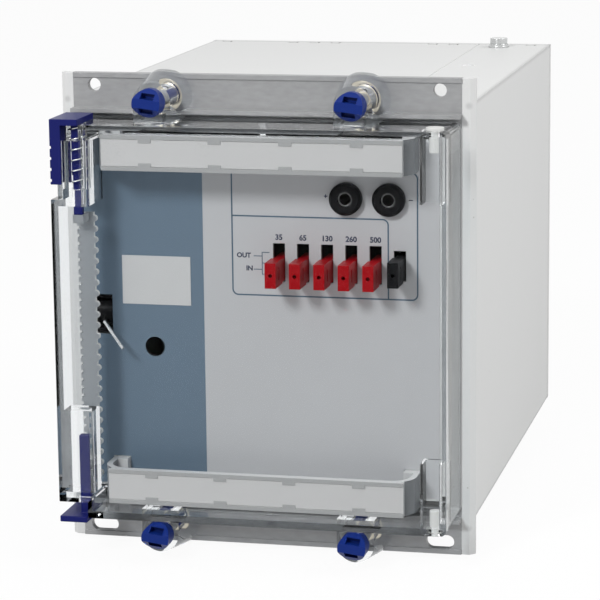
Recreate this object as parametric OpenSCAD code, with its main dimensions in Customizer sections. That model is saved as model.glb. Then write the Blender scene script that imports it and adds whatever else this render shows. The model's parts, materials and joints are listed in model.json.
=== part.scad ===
// Draw-out protection relay for panel mounting.
// A folded steel case with aluminium front rails takes a withdrawable chassis,
// and a clear moulded cover closes the front on four quarter-turn knobs.
// X points right, Y to the rear and Z up, in millimetres. The origin is the
// middle of the four panel fixings, on the flange face that meets the panel.

/* [Front flange] */
// Width of the front flange
flange_w = 155.5; // [152:0.5:164]
// Height of the front flange
flange_h = 177; // [176:0.5:186]
// Thickness of the front flange
flange_t = 3; // [2.5:0.1:4]
// Width of the painted strip on each side of the flange
strip_w = 5; // [4:0.1:5.5]
// Chamfer on the outer edge of each side strip
strip_chamfer = 2; // [1:0.1:2.4]
// Diameter of the two upper panel holes
hole_d = 4.9; // [3.6:0.1:5.2]
// Height of the two lower panel slots
slot_w = 5.2; // [4:0.1:5.6]
// Length of the two lower panel slots
slot_len = 10.5; // [8:0.5:11]
// Distance of the panel holes from the flange's side edges
hole_side = 13; // [12.5:0.1:14]
// Distance of the panel holes from the flange's top and bottom edges
hole_edge = 4.5; // [4.2:0.1:5]

/* [Case] */
// How far the flange stands out past each side of the case
side_out = 2.5; // [1.5:0.1:3]
// How far the flange stands out past the case's top and bottom
rail_out = 10; // [9:0.5:10.5]
// Depth of the case behind the flange
case_d = 213; // [208:1:240]
// Thickness of the case sheet
sheet_t = 1.5; // [1:0.1:1.8]
// Width of the folds along the top and bottom of the right side plate
side_fold_w = 31; // [25:1:40]
// Width of the seam between the wrapper and the side plate
seam_gap = 0.3; // [0.1:0.1:0.6]
// Thickness of the rear frame
rear_frame_t = 4; // [3:0.5:6]
// Distance of the chassis mouth from each side of the case
mouth_side = 4.95; // [4.5:0.05:5.2]
// Distance of the chassis mouth from the case's top and bottom
mouth_edge = 8; // [7.5:0.1:8.5]

/* [Aluminium rails] */
// How far the rail's ledge reaches under the case sheet
ledge_d = 14; // [10:1:20]
// Thickness of the ledge
ledge_t = 2.4; // [2:0.1:3]
// How far the ridge along each rail stands forward
ridge_d = 5; // [3:0.5:6]
// Thickness of the ridge
ridge_t = 1.5; // [1:0.1:2]
// How far the rail's outer lip stands forward
lip_d = 0.6; // [0.3:0.1:1]
// Width of the rail's outer lip
lip_w = 1.8; // [1:0.1:2.4]

/* [Cover] */
// Distance of the clear cover from the flange's side edges
cover_side = 5.25; // [5.2:0.05:6]
// Distance of the clear cover from the flange's top and bottom edges
cover_edge = 15.5; // [15:0.5:16]
// Depth of the clear cover
cover_d = 30; // [29:0.5:34]
// Thickness of the cover's front
cover_front_t = 2.5; // [2:0.1:3]
// Thickness of the cover's walls
cover_wall = 2; // [1.6:0.1:2]
// Corner radius of the cover
cover_r = 2.5; // [2.2:0.1:4]
// Thickness of the sealing frame behind the cover
gasket_t = 1; // [0.6:0.1:1.5]

/* [Knobs] */
// Diameter of a knob
knob_d = 10.5; // [9.5:0.5:12]
// Length of a knob's head
knob_len = 7.5; // [6:0.1:9]
// Distance of the knobs from the flange's side edges
knob_side = 40.75; // [33:0.25:48]
// Distance of the knobs from the flange's top and bottom edges
knob_edge = 8; // [7.5:0.1:8.5]
// Diameter of a knob's shaft
knob_shaft_d = 5.2; // [4:0.1:5.4]
// Width of the ridge between a knob's two slopes
grip_w = 3.3; // [2.5:0.1:4]
// Depth of a knob's two pockets
grip_d = 5; // [4:0.5:5.5]
// Radius of a cover boss at its back
boss_back_r = 10; // [8.5:0.5:10]
// Radius of a cover boss at its front
boss_front_r = 7; // [6.5:0.5:8]
// Length of a cover boss
boss_len = 19.5; // [18:0.5:21]

/* [Front plate] */
// Gap between the plate's left edge and the mouth
plate_gap_left = 1.3; // [0.8:0.1:2.3]
// Gap between the plate's right edge and the mouth
plate_gap_right = 3.8; // [1.3:0.1:5]
// Gap between the plate and the mouth at the top and bottom
plate_gap_z = 3.5; // [1.5:0.1:4.5]
// Thickness of the front plate
plate_t = 1.5; // [1.2:0.1:2]
// How far the front plate stands in front of the flange
plate_out = 5; // [4:0.5:6]
// Thickness of the printed film on the front plate
film_t = 0.3; // [0.2:0.1:0.5]

/* [Handles] */
// Height of a handle bar
handle_h = 13; // [12:0.5:14]
// Distance of each handle's middle from the plate's edge
handle_edge = 4.7; // [4.5:0.1:7]
// Distance of a handle's ends from the cover's sides
handle_side = 13.9; // [13.7:0.1:15.5]
// How far a handle stands in front of the front plate
handle_out = 19; // [17:0.5:20]
// Wall of a handle bar
handle_wall = 2.2; // [2:0.1:2.6]
// Outer bend radius of a handle bar
handle_r = 9; // [7:0.5:10]
// Thickness of the flat face on a handle bar
handle_face_t = 1.4; // [1.2:0.1:1.6]
// Width of a handle's feet
handle_foot_w = 6; // [5.5:0.5:8]
// Height of the label strip in a handle
label_strip_h = 10; // [8:0.5:10.2]
// Thickness of the label strip in a handle
label_strip_t = 0.5; // [0.3:0.1:0.6]
// Distance between the tabs that hold the label strip
strip_tab_pitch = 26; // [20:1:27]
// Width of a tab
strip_tab_w = 4.8; // [3:0.2:6]

/* [Links and sockets] */
// Distance between the link slots
link_pitch = 9; // [7.5:0.1:9.2]
// Distance of the first link slot from the plate's right edge
link_side = 60.5; // [59.5:0.1:62.5]
// Width of a link slot
slot_x = 4.5; // [4.3:0.1:5.2]
// Height of a link slot
slot_z = 14.3; // [13:0.1:16]
// Distance of the middle of the link slots from the plate's top edge
slot_drop = 46.6; // [45:0.1:49]
// Width of a plug link
link_w = 4.1; // [3.6:0.1:4.2]
// Height of a plug link
link_h = 9.3; // [8:0.1:9.5]
// How far a plug link stands out of the front plate
link_out = 14.7; // [12:0.1:15]
// How far a plug link reaches into its slot
link_in = 12; // [8:0.5:14]
// Width of the test link
test_link_w = 4; // [3.6:0.1:4.2]
// Height of the test link's slot
test_slot_z = 11.2; // [10:0.1:13]
// Diameter of the probe hole in a link
probe_d = 1.4; // [1:0.1:2]
// Depth of the link block behind the front plate
link_block_d = 20.5; // [18:0.5:24]
// Outer diameter of a test socket
socket_d = 12; // [10:0.5:13]
// Bore of a test socket
socket_bore_d = 4.2; // [4:0.1:4.4]
// How far a test socket stands out of the printed film
socket_out = 3.6; // [2:0.1:5]
// Length of a test socket behind the front plate
socket_in = 16; // [12:0.5:18]
// Distances of the two test sockets from the plate's right edge
socket_side = [35.2, 19.3];
// Distance of the test sockets from the plate's top edge
socket_drop = 22.2; // [21:0.1:24]

/* [Flag window] */
// Distances of the window's two sides from the plate's left edge
window_side = [2, 11];
// Distances of the window's lower and upper edge from the plate's top edge
window_drop = [75.7, 60.7];
// Diameter of the sensing hole in the front plate
eye_d = 7.5; // [5:0.5:9]
// Distance of the sensing hole from the plate's left edge
eye_side = 27.1; // [23:0.1:33]
// Distance of the sensing hole from the plate's top edge
eye_drop = 79.9; // [75:0.1:85]
// Diameter of the reset arm's wire
arm_d = 1.3; // [1:0.1:1.6]
// Radius of the flag drum
drum_r = 5; // [4:0.1:5.2]

/* [Reset levers] */
// Travel of the reset levers
reset_travel = 5; // [3:0.5:5]
// Depth of a reset lever's cap from front to back
cap_d = 20; // [16:0.5:21]
// Thickness of a reset lever's cap
cap_t = 2.3; // [1.8:0.1:2.5]
// Width of a reset lever's cap
cap_w = 10.5; // [10:0.1:10.8]
// Width of the upper lever's outer leg
leg_w = 4.1; // [3.5:0.1:4.1]
// Length of the upper lever's outer leg under the cap
leg_len = 21.5; // [18:0.5:22]
// Depth of the upper lever's outer leg
leg_d = 7.7; // [6:0.1:7.8]
// Diameter of the lever's spring wire
spring_wire_d = 0.6; // [0.4:0.1:0.6]
// Number of turns of the spring
spring_turns = 6; // [4:1:7]
// Distance between the teeth of the reset rack
tooth_pitch = 4; // [3.5:0.5:6]

/* [Chassis] */
// Thickness of the chassis plates
chassis_t = 1.2; // [1:0.1:1.5]
// Gap between a chassis tray and the mouth's edge
tray_gap = 10.5; // [9.5:0.5:12.5]
// Gap between the back of the chassis and the back of the case
chassis_gap = 29.5; // [27.5:0.5:33]
// Thickness of the chassis runners
runner_t = 2.4; // [2:0.1:3]
// Height of the chassis runners
runner_h = 9.4; // [8.5:0.1:9.6]
// Clearance between a runner and its guide
runner_gap = 0.3; // [0.2:0.05:0.4]

/* [Transformers] */
// Width of the summation transformer's core
big_core_w = 60; // [50:1:60]
// Height of the summation transformer's core
big_core_h = 50; // [40:1:54]
// Stack of the summation transformer's core
big_core_d = 28; // [20:1:30]
// Width of the isolating transformer's core
small_core_w = 48; // [40:1:48]
// Height of the isolating transformer's core
small_core_h = 40; // [32:1:42]
// Stack of the isolating transformer's core
small_core_d = 24; // [18:1:26]

/* [Hidden] */
$fn = 48;

// Overrun of every cut past the face it opens
cut = 1;
// Clearance of a fixed piece in its seat
seat_gap = 0.1;
// Clearance of a piece that slides or turns
slide_gap = 0.4;
// Share that finds a middle
half_share = 0.5;

// Case
flange_x = flange_w / 2;
flange_z = flange_h / 2;
hole_pitch_x = flange_w - 2 * hole_side;
hole_pitch_z = flange_h - 2 * hole_edge;
case_w = flange_w - 2 * side_out;
case_h = flange_h - 2 * rail_out;
mouth_w = case_w - 2 * mouth_side;
mouth_h = case_h - 2 * mouth_edge;
cover_w = flange_w - 2 * cover_side;
cover_h = flange_h - 2 * cover_edge;
knob_x = flange_x - knob_side;
knob_z = flange_z - knob_edge;
sheet_rebate = 0.5;
strip_x = flange_x - strip_w;
case_x = case_w / 2;
case_z = case_h / 2;
mouth_x = mouth_w / 2;
mouth_z = mouth_h / 2;
wrapper_d = case_d - rear_frame_t;
seam_x = case_x - side_fold_w;
cover_x = cover_w / 2;
cover_z = cover_h / 2;
ridge_clear = 1.2;
ridge_z = cover_z + ridge_clear;
// Tabs of the rear frame along the case's rear edges, as shares of its width
tab_shares = [-0.456, -0.255, -0.191, -0.129, 0.16, 0.221, 0.446];
tab_w = 3.4;
tab_d = 3;
tab_gap = 0.35;
receptacle_wall = 1.2;
receptacle_bore_d = knob_shaft_d + 2 * slide_gap;

// Terminal blocks behind the chassis plugs
block_side = 21.25;
block_middle = 10;
block_edge = 7.5;
block_x = (case_x - block_side + block_middle) / 2;
block_w = case_x - block_side - block_middle;
block_h = case_h - 2 * block_edge;
block_d = 15;
block_front_y = case_d - block_d;
block_out = 1;
block_flange = 3;
block_flange_d = 6;
block_end = 2;
block_columns = 2;
cell_w = 12;
cell_h = 8.4;
cell_d = 6;
cell_pitch_x = 18;
cell_pitch_z = 9.8;
block_rows = floor((block_h - 2 * block_end) / cell_pitch_z);
terminal_head_d = 6.4;
terminal_head_t = 2.6;
terminal_shank_d = 3.6;
terminal_shank_len = 4;
terminal_slot_w = 0.9;
terminal_slot_d = 1.2;
socket_slot_w = 2;
socket_slot_h = 6;
socket_slot_d = 9;
block_screw_d = 3;
block_screw_head_d = 5;
block_screw_head_t = 1.6;
block_screw_z = (block_h / 2 + case_z - sheet_t) / 2;

// Earth screw on the case's top and the two case screws beside the seam
earth_side = 20.55;
earth_x = case_x - earth_side;
earth_back = 15;
earth_y = case_d - earth_back;
earth_shank_d = 4;
earth_head_d = 7.4;
earth_head_t = 2.4;
earth_washer_d = 9;
earth_washer_t = 0.8;
earth_shank_len = 5;
case_screw_side = 22.25;
case_screw_x = case_x - case_screw_side;
case_screw_back = 85;
case_screw_y = case_d - case_screw_back;
case_screw_d = 5.5;
case_screw_shank_d = 3;
case_screw_shank_len = 4;
case_screw_slot_w = 0.8;
case_screw_slot_d = 0.5;

// Front plate
plate_front_y = -flange_t - plate_out;
plate_back_y = plate_front_y + plate_t;
film_front_y = plate_front_y - film_t;
plate_left = mouth_x - plate_gap_left;
plate_right = mouth_x - plate_gap_right;
plate_z = mouth_z - plate_gap_z;
film_edge = 1;
label_side = [15.1, 41.3];
label_drop = [63.9, 45.6];
label_x = [for (side = label_side) -plate_left + side];
label_z = [for (drop = label_drop) plate_z - drop];
label_t = 0.2;

// Handles
handle_z = plate_z - handle_edge;
handle_reach = cover_x - handle_side;
handle_front_y = plate_front_y - handle_out;
handle_foot_d = 3.5;
strip_recess_d = 0.8;
handle_face_lap = 0.4;
handle_face_in = 3.1;
strip_half_x = handle_reach - handle_face_in;
strip_tab_t = strip_recess_d - label_strip_t;
strip_tab_h = 1.3;
handle_screw_d = 3;
handle_screw_head_d = 5.6;
handle_screw_head_t = 1.8;
handle_screw_len = 3;

// Links and sockets
link_x = plate_right - link_side;
slot_mid_z = plate_z - slot_drop;
socket_x = [for (side = socket_side) plate_right - side];
socket_z = plate_z - socket_drop;
slot_low_z = slot_mid_z - slot_z / 2;
slot_high_z = slot_mid_z + slot_z / 2;
link_low_z = slot_low_z + seat_gap;
link_tongue_inset = 0.15;
link_wrist_inset = 0.5;
link_wrist_d = 1.2;
link_wrist_y = 4;
test_slot_low_z = slot_mid_z - test_slot_z / 2;
probe_deep = 4;
link_block_margin = 3;
slot_floor = 2;
plug_link_count = 5;
slot_count = plug_link_count + 1;
socket_neck_d = 9;
socket_edge = 1;
sleeve_wall = 0.7;
sleeve_inset = 1.2;

// Flag unit
window_x = [for (side = window_side) -plate_left + side];
window_z = [for (drop = window_drop) plate_z - drop];
eye_x = -plate_left + eye_side;
eye_z = plate_z - eye_drop;
drum_mid_z = (window_z[0] + window_z[1]) / 2;
drum_y = plate_back_y + drum_r + slide_gap;
drum_end_gap = 0.5;
drum_pin_d = 2;
drum_pin_len = 1.2;
housing_wall = 1.5;
arm_root_share = 0.6;
arm_bead_share = 1.08;
arm_side = [6.5, 8.5, 17.5];
arm_out = [2.5, 9.5];
arm_fall = [2.6, 11];
arm_root = [-plate_left + arm_side[0], plate_back_y + slide_gap + arm_root_share * drum_r, drum_mid_z];
arm_bend = [-plate_left + arm_side[1], plate_front_y - arm_out[0], drum_mid_z - arm_fall[0]];
arm_tip = [-plate_left + arm_side[2], plate_front_y - arm_out[1], drum_mid_z - arm_fall[1]];

// Chassis
chassis_z = mouth_z - tray_gap;
chassis_back_y = case_d - chassis_gap;
runner_top_z = chassis_z + runner_h;
guide_wall = 5;
guide_front_gap = 1;
guide_back_gap = 13;
guide_mouth_gap = 4;
guide_front_y = ledge_d + guide_front_gap;
guide_back_y = case_d - guide_back_gap;
guide_mouth_z = chassis_z + guide_mouth_gap;
rear_plate_t = 1.5;
plug_inset = 2;
plug_end = 3;
plug_w = block_w - 2 * plug_inset;
plug_h = block_h - 2 * plug_end;
plug_d = 11.5;
plug_mid_x = block_x;
blade_w = 1.2;
blade_h = 4.8;
blade_out = 7;
blade_in = 6;

// Relay element
relay_side = [12, 36];
relay_drop = 20;
relay_h = 28;
relay_x = [for (side = relay_side) -plate_left + side];
yoke_y = [20, 46];
yoke_high_z = chassis_z - relay_drop;
yoke_low_z = yoke_high_z - relay_h;
yoke_t = 2;
coil_x = (relay_x[0] + relay_x[1]) / 2;
coil_y = 30;
coil_r = 9.5;
coil_flange_r = 10;
coil_flange_t = 1.2;
coil_h = 23.6;
pole_r = 4;
pole_rise = 1;
armature_t = 1.6;
armature_lift = 0.3;
contact_block_y = [46, 58];
contact_block_rise = [2, 22];
contact_block_z = [for (rise = contact_block_rise) yoke_low_z + rise];
contact_blade_t = 0.5;
contact_blade_w = 4;
contact_blade_rise = 10;
contact_blade_shares = [0.2, 0.5, 0.8];
contact_blade_inset = 4;

// Transformers
core_leg_share = 1 / 6;
big_core_back = 109.5;
small_core_back = 61.5;
big_core_y = chassis_back_y - big_core_back;
small_core_y = chassis_back_y - small_core_back;
coil_swell = 8;
coil_gap = 0.3;
strap_t = 1.2;
strap_w = 12;
strap_foot = 7;
core_side = chassis_t + slide_gap + strap_foot + strap_t;
big_core_x = -plate_left + core_side + big_core_w / 2;
small_core_x = plate_right - core_side - small_core_w / 2;

// Boards
board_t = 1.6;
resistor_board_side = [65.5, 10.5];
resistor_board_reach = [-22.4, 15.6];
resistor_board_x = [for (side = resistor_board_side) plate_right - side];
resistor_board_z = [for (reach = resistor_board_reach) slot_mid_z + reach];
resistor_r = 3.4;
resistor_len = 30;
resistor_lead_r = 0.6;
resistor_lead_len = 1.6;
rectifier_room = 6;
rectifier_x = plate_right - chassis_t - rectifier_room;
rectifier_back = [119.5, 33.5];
rectifier_y = [for (back = rectifier_back) chassis_back_y - back];
rectifier_rise = 9.6;
rectifier_drop = 12;
rectifier_z = [-chassis_z + chassis_t + small_core_h + strap_t + rectifier_rise, chassis_z - rectifier_drop];
standoff_r = 2.5;
standoff_inset = 5;
bridge_size = [5, 15, 15];
bridge_in = 8;
bridge_y = rectifier_y[0] + bridge_in;
bridge_z = [rectifier_z[0] + bridge_in, rectifier_z[1] - bridge_in - bridge_size[2]];
capacitor_r = 6;
capacitor_len = 18;
capacitor_in = [40, 56, 72];
capacitor_y = [for (in = capacitor_in) rectifier_y[0] + in];
capacitor_drop = 26;
capacitor_z = chassis_z - capacitor_drop;
relay_can = [15, 12, 29];
relay_can_y = capacitor_y[0];
relay_can_z = rectifier_z[0];

// Wiring loom and its clips
loom_r = 2.5;
loom_side = 15.5;
loom_drop = 6;
loom_rise = 12.6;
loom_x = plate_right - loom_side;
loom_y = 22;
loom_low_z = slot_mid_z + loom_rise;
loom_high_z = chassis_z - loom_drop;
clip_t = 1;
clip_w = 5;
clip_shares = [0.17, 0.48, 0.79];
clip_y = [for (share = clip_shares) loom_y + share * (chassis_back_y - loom_y)];

// Cover
cover_back_y = -flange_t - gasket_t;
cover_front_y = cover_back_y - cover_d;
cover_inner_y = cover_front_y + cover_front_t;
boss_back_y = -flange_t - lip_d - slide_gap;
boss_front_y = boss_back_y - boss_len;
boss_bore_d = knob_shaft_d + 2 * slide_gap;
boss_web_w = 14;
boss_notch_w = 8;
boss_notch_h = 3;
boss_notch_d = 5;
knob_back_y = boss_front_y - slide_gap / 2;
knob_front_y = knob_back_y - knob_len;
knob_shaft_back_y = -0.4 * flange_t;
knob_pocket_w = 5;
knob_pocket_reach = 2;
knob_slope_d = 0.6 * knob_len;
knob_slot_w = 1;
knob_slot_d = 1.5;

// Corner pockets of the cover and the reset levers in them
pocket_wall = 1;
cap_rise = 2;
cap_low_z = cover_z - cap_t + cap_rise;
notch_z = cap_low_z - reset_travel - 0.5;
notch_x = -cover_x + cap_w + slide_gap;
notch_back_y = cover_front_y + cap_d + slide_gap;
leg_low_z = cap_low_z - leg_len;
recess_low_z = leg_low_z - reset_travel - 0.5;
recess_x = -cover_x + leg_w + slide_gap;
recess_back_y = cover_front_y + leg_d + slide_gap;
rod_w = 4;
rod_d = 2.4;
rod_side = 8.5;
rod_back = 3.9;
rod_x = -cover_x + rod_side;
rod_y = cover_inner_y + rod_back;
well_r = 3.5;
well_depth = 24;
well_low_z = cover_z - well_depth;
rod_tip_depth = 33.5;
rod_tip_z = cover_z - rod_tip_depth;
rod_tip_w = 3.2;
pocket_depth = 30;
pocket_low_z = cover_z - pocket_depth;
pocket_back_y = rod_y + well_r + pocket_wall;
pocket_x = rod_x + well_r + pocket_wall;
spring_mean_r = well_r - slide_gap / 2 - spring_wire_d / 2;
spring_low_z = well_low_z + spring_wire_d / 2;
spring_high_z = cap_low_z - spring_wire_d / 2;
spring_sides = 6;
spring_steps = 16;
rack_side = [6, 12.3];
rack_x = [for (side = rack_side) -cover_x + side];
rack_t = 1.8;
rack_back_y = pocket_back_y + 2 * slide_gap + rack_t;
rack_low_z = -notch_z + pocket_wall + reset_travel + slide_gap;
rack_high_z = rod_tip_z;
rack_head_h = 3;
tooth_r = 1.2;
notch_pitch = 3;
notch_deep = 1;
notch_high = 1.2;
low_cap_z = -cap_low_z;
low_rod_len = 30;
low_rod_high_z = -cover_z + low_rod_len;
low_pocket_rise = [9, 40];
low_pocket_z = [for (rise = low_pocket_rise) -cover_z + rise];
grip_ridge_pitch = 4;
grip_ridge_h = 1;
grip_ridge_d = 0.5;
empty_pocket_w = 8;
empty_pocket_x = [cover_x - cover_wall - empty_pocket_w, cover_x - cover_wall];
empty_pocket_d = 8;
empty_pocket_len = 24;
empty_upper_z = cover_z - cover_wall - empty_pocket_len;
empty_lower_z = -empty_upper_z;
plug_stem_d = 4;
plug_head_d = 6.5;
plug_head_t = 1;
plug_stem_len = 8;
plug_side = 5.2;
plug_back = 4;
plug_x = cover_x - plug_side;
plug_y = cover_inner_y + plug_back;

// A box between two places along each axis
module span_box(x, y, z) {
    translate([x[0], y[0], z[0]])
        cube([x[1] - x[0], y[1] - y[0], z[1] - z[0]]);
}

// A round rod along Y between two places
module y_rod(r, y) {
    translate([0, y[0], 0])
        rotate([-90, 0, 0])
            cylinder(r = r, h = y[1] - y[0]);
}

// A flat shape drawn in X and Z, given a thickness along Y
module y_slab(y) {
    translate([0, y[1], 0])
        rotate([90, 0, 0])
            linear_extrude(height = y[1] - y[0])
                children();
}

// A rectangle with round corners
module round_rect(w, h, r) {
    square([w - 2 * r, h], center = true);
    square([w, h - 2 * r], center = true);
    for (sx = [-1, 1], sz = [-1, 1])
        translate([sx * (w / 2 - r), sz * (h / 2 - r)])
            circle(r = r);
}

// A slot along X with round ends
module oblong(len, w) {
    square([len - w, w], center = true);
    for (s = [-1, 1])
        translate([s * (len - w) / 2, 0])
            circle(d = w);
}

// The painted flange strip beside the case, on the side given by s
module side_strip(s) {
    strip_profile = [
        [s * strip_x, 0],
        [s * flange_x, 0],
        [s * flange_x, -flange_t + strip_chamfer],
        [s * (flange_x - strip_chamfer), -flange_t],
        [s * strip_x, -flange_t]
    ];
    translate([0, 0, -flange_z])
        linear_extrude(height = flange_h)
            polygon(strip_profile);
    inner = s > 0 ? [mouth_x, strip_x + sheet_rebate] : [-strip_x - sheet_rebate, -mouth_x];
    span_box(inner, [-flange_t, 0], [-mouth_z, mouth_z]);
}

// Notches that let the rear frame's tabs in, on the top and bottom sheets
module tab_notches() {
    for (share = tab_shares, s = [-1, 1])
        translate([share * case_w, wrapper_d, s * (case_z - sheet_t / 2)])
            cube([tab_w + 2 * tab_gap, 2 * (tab_d + tab_gap), sheet_t + 2 * cut], center = true);
}

module case_wrapper() {
    color([0.87, 0.88, 0.87]) {
        side_strip(-1);
        difference() {
            union() {
                span_box([-case_x, -case_x + sheet_t], [-sheet_rebate, wrapper_d], [-case_z, case_z]);
                for (z = [-case_z, case_z - sheet_t])
                    span_box([-case_x, seam_x], [-sheet_rebate, wrapper_d], [z, z + sheet_t]);
            }
            tab_notches();
        }
    }
}

module right_side_plate() {
    color([0.87, 0.88, 0.87]) {
        side_strip(1);
        difference() {
            union() {
                span_box([case_x - sheet_t, case_x], [-sheet_rebate, wrapper_d], [-case_z, case_z]);
                for (z = [-case_z, case_z - sheet_t])
                    span_box([seam_x + seam_gap, case_x], [-sheet_rebate, wrapper_d], [z, z + sheet_t]);
            }
            tab_notches();
            translate([case_screw_x, case_screw_y, case_z - sheet_t - cut])
                cylinder(d = case_screw_shank_d + 2 * seat_gap, h = sheet_t + 2 * cut);
            translate([case_screw_x, case_screw_y, case_z - sheet_t / 2])
                cylinder(d = case_screw_d + 2 * seat_gap, h = sheet_t);
            translate([earth_x, earth_y, case_z - sheet_t - cut])
                cylinder(d = earth_shank_d + 2 * seat_gap, h = sheet_t + 2 * cut);
        }
    }
}

// The section of a front rail in Y and Z, extruded across the flange
module rail_bar() {
    rail_section = [
        [-flange_t, mouth_z],
        [0, mouth_z],
        [0, case_z - sheet_t - ledge_t],
        [ledge_d, case_z - sheet_t - ledge_t],
        [ledge_d, case_z - sheet_t],
        [-sheet_rebate, case_z - sheet_t],
        [-sheet_rebate, case_z + seat_gap],
        [0, case_z + seat_gap],
        [0, flange_z],
        [-flange_t - lip_d, flange_z],
        [-flange_t - lip_d, flange_z - lip_w],
        [-flange_t, flange_z - lip_w],
        [-flange_t, ridge_z + ridge_t],
        [-flange_t - ridge_d, ridge_z + ridge_t],
        [-flange_t - ridge_d, ridge_z],
        [-flange_t, ridge_z]
    ];
    difference() {
        translate([-strip_x, 0, 0])
            rotate([90, 0, 90])
                linear_extrude(height = 2 * strip_x)
                    polygon(rail_section);
        for (s = [-1, 1])
            translate([s * knob_x, 0, knob_z])
                y_rod(receptacle_bore_d / 2 + receptacle_wall, [-flange_t - cut, cut]);
    }
}

module top_rail() {
    color([0.62, 0.64, 0.66])
        difference() {
            rail_bar();
            for (s = [-1, 1])
                translate([s * hole_pitch_x / 2, 0, hole_pitch_z / 2])
                    y_rod(hole_d / 2, [-flange_t - cut, cut]);
        }
}

module bottom_rail() {
    color([0.62, 0.64, 0.66])
        difference() {
            mirror([0, 0, 1])
                rail_bar();
            for (s = [-1, 1])
                translate([s * hole_pitch_x / 2, 0, -hole_pitch_z / 2])
                    y_slab([-flange_t - cut, cut])
                        oblong(slot_len, slot_w);
        }
}

module rear_frame() {
    color([0.85, 0.86, 0.85])
        difference() {
            union() {
                span_box([-case_x, case_x], [wrapper_d, case_d], [-case_z, case_z]);
                for (share = tab_shares, s = [-1, 1])
                    translate([share * case_w, wrapper_d - tab_d / 2, s * (case_z - sheet_t / 2)])
                        cube([tab_w, tab_d, sheet_t], center = true);
            }
            for (s = [-1, 1]) {
                window_w = block_w + 2 * seat_gap;
                window_h = block_h + 2 * seat_gap;
                translate([s * block_x, wrapper_d + rear_frame_t / 2, 0])
                    cube([window_w, rear_frame_t + 2 * cut, window_h], center = true);
                for (sz = [-1, 1])
                    translate([s * block_x, 0, sz * block_screw_z]) {
                        y_rod(block_screw_d / 2 + seat_gap, [wrapper_d - cut, case_d + cut]);
                        y_rod(block_screw_head_d / 2 + seat_gap, [case_d - block_screw_head_t, case_d + cut]);
                    }
            }
        }
}

module knob_receptacles() {
    color([0.72, 0.6, 0.32])
        for (sx = [-1, 1], sz = [-1, 1])
            translate([sx * knob_x, 0, sz * knob_z])
                difference() {
                    y_rod(receptacle_bore_d / 2 + receptacle_wall, [-flange_t, -sheet_rebate]);
                    y_rod(receptacle_bore_d / 2, [-flange_t - cut, cut]);
                }
}

// A channel under the case's top sheet in which a chassis runner slides
module guide_channel() {
    slot_half = runner_t / 2 + runner_gap;
    guide_half = slot_half + guide_wall;
    difference() {
        span_box([-guide_half, guide_half], [guide_front_y, guide_back_y], [guide_mouth_z, case_z - sheet_t]);
        span_box([-slot_half, slot_half], [guide_front_y - cut, guide_back_y + cut],
            [guide_mouth_z - cut, runner_top_z + runner_gap]);
    }
}

module chassis_guides() {
    color([0.15, 0.15, 0.16]) {
        guide_channel();
        mirror([0, 0, 1])
            guide_channel();
    }
}

// Places of the terminals in one block, from its middle
function terminal_x(column) = (column - (block_columns - 1) / 2) * cell_pitch_x;
function terminal_z(row) = (row - (block_rows - 1) / 2) * cell_pitch_z;

module terminal_block() {
    block_back_y = case_d - block_out;
    flange_y = [wrapper_d - block_flange_d, wrapper_d];
    difference() {
        union() {
            y_slab([block_front_y, block_back_y])
                square([block_w, block_h], center = true);
            y_slab(flange_y)
                square([block_w + 2 * block_flange, 2 * (case_z - sheet_t - slide_gap)], center = true);
        }
        for (column = [0 : block_columns - 1], row = [0 : block_rows - 1])
            translate([terminal_x(column), 0, terminal_z(row)]) {
                translate([0, block_back_y, 0])
                    cube([cell_w, 2 * cell_d, cell_h], center = true);
                y_rod(terminal_shank_d / 2, [block_back_y - cell_d - terminal_shank_len, block_back_y]);
            }
        for (row = [0 : block_rows - 1])
            translate([0, block_front_y, terminal_z(row)])
                cube([socket_slot_w, 2 * socket_slot_d, socket_slot_h], center = true);
        for (sz = [-1, 1])
            translate([0, 0, sz * block_screw_z])
                y_rod(block_screw_d / 2, [flange_y[0] - cut, flange_y[1] + cut]);
    }
}

module terminal_blocks() {
    color([0.1, 0.1, 0.11])
        for (s = [-1, 1])
            translate([s * block_x, 0, 0])
                terminal_block();
}

module terminal_screws() {
    floor_y = case_d - block_out - cell_d;
    head_y = floor_y + terminal_head_t;
    color([0.75, 0.72, 0.6])
        for (s = [-1, 1], column = [0 : block_columns - 1], row = [0 : block_rows - 1])
            translate([s * block_x + terminal_x(column), 0, terminal_z(row)])
                difference() {
                    union() {
                        y_rod(terminal_head_d / 2, [floor_y, head_y]);
                        y_rod(terminal_shank_d / 2, [floor_y - terminal_shank_len, floor_y]);
                    }
                    translate([0, head_y, 0])
                        cube([terminal_head_d + cut, 2 * terminal_slot_d, terminal_slot_w], center = true);
                }
}

module block_screws() {
    color([0.7, 0.71, 0.72])
        for (s = [-1, 1], sz = [-1, 1])
            translate([s * block_x, 0, sz * block_screw_z])
                difference() {
                    union() {
                        y_rod(block_screw_head_d / 2, [case_d - block_screw_head_t, case_d]);
                        y_rod(block_screw_d / 2, [wrapper_d - block_flange_d, case_d - block_screw_head_t]);
                    }
                    translate([0, case_d, 0])
                        cube([terminal_slot_w, terminal_slot_d, block_screw_head_d + cut], center = true);
                }
}

module earth_screw() {
    stack_z = case_z + 2 * earth_washer_t;
    color([0.78, 0.78, 0.76])
        translate([earth_x, earth_y, 0])
            difference() {
                union() {
                    translate([0, 0, stack_z])
                        cylinder(d = earth_head_d, h = earth_head_t);
                    translate([0, 0, stack_z - earth_shank_len])
                        cylinder(d = earth_shank_d, h = earth_shank_len);
                }
                translate([0, 0, stack_z + earth_head_t])
                    cube([earth_head_d + cut, terminal_slot_w, 2 * terminal_slot_d], center = true);
            }
}

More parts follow.
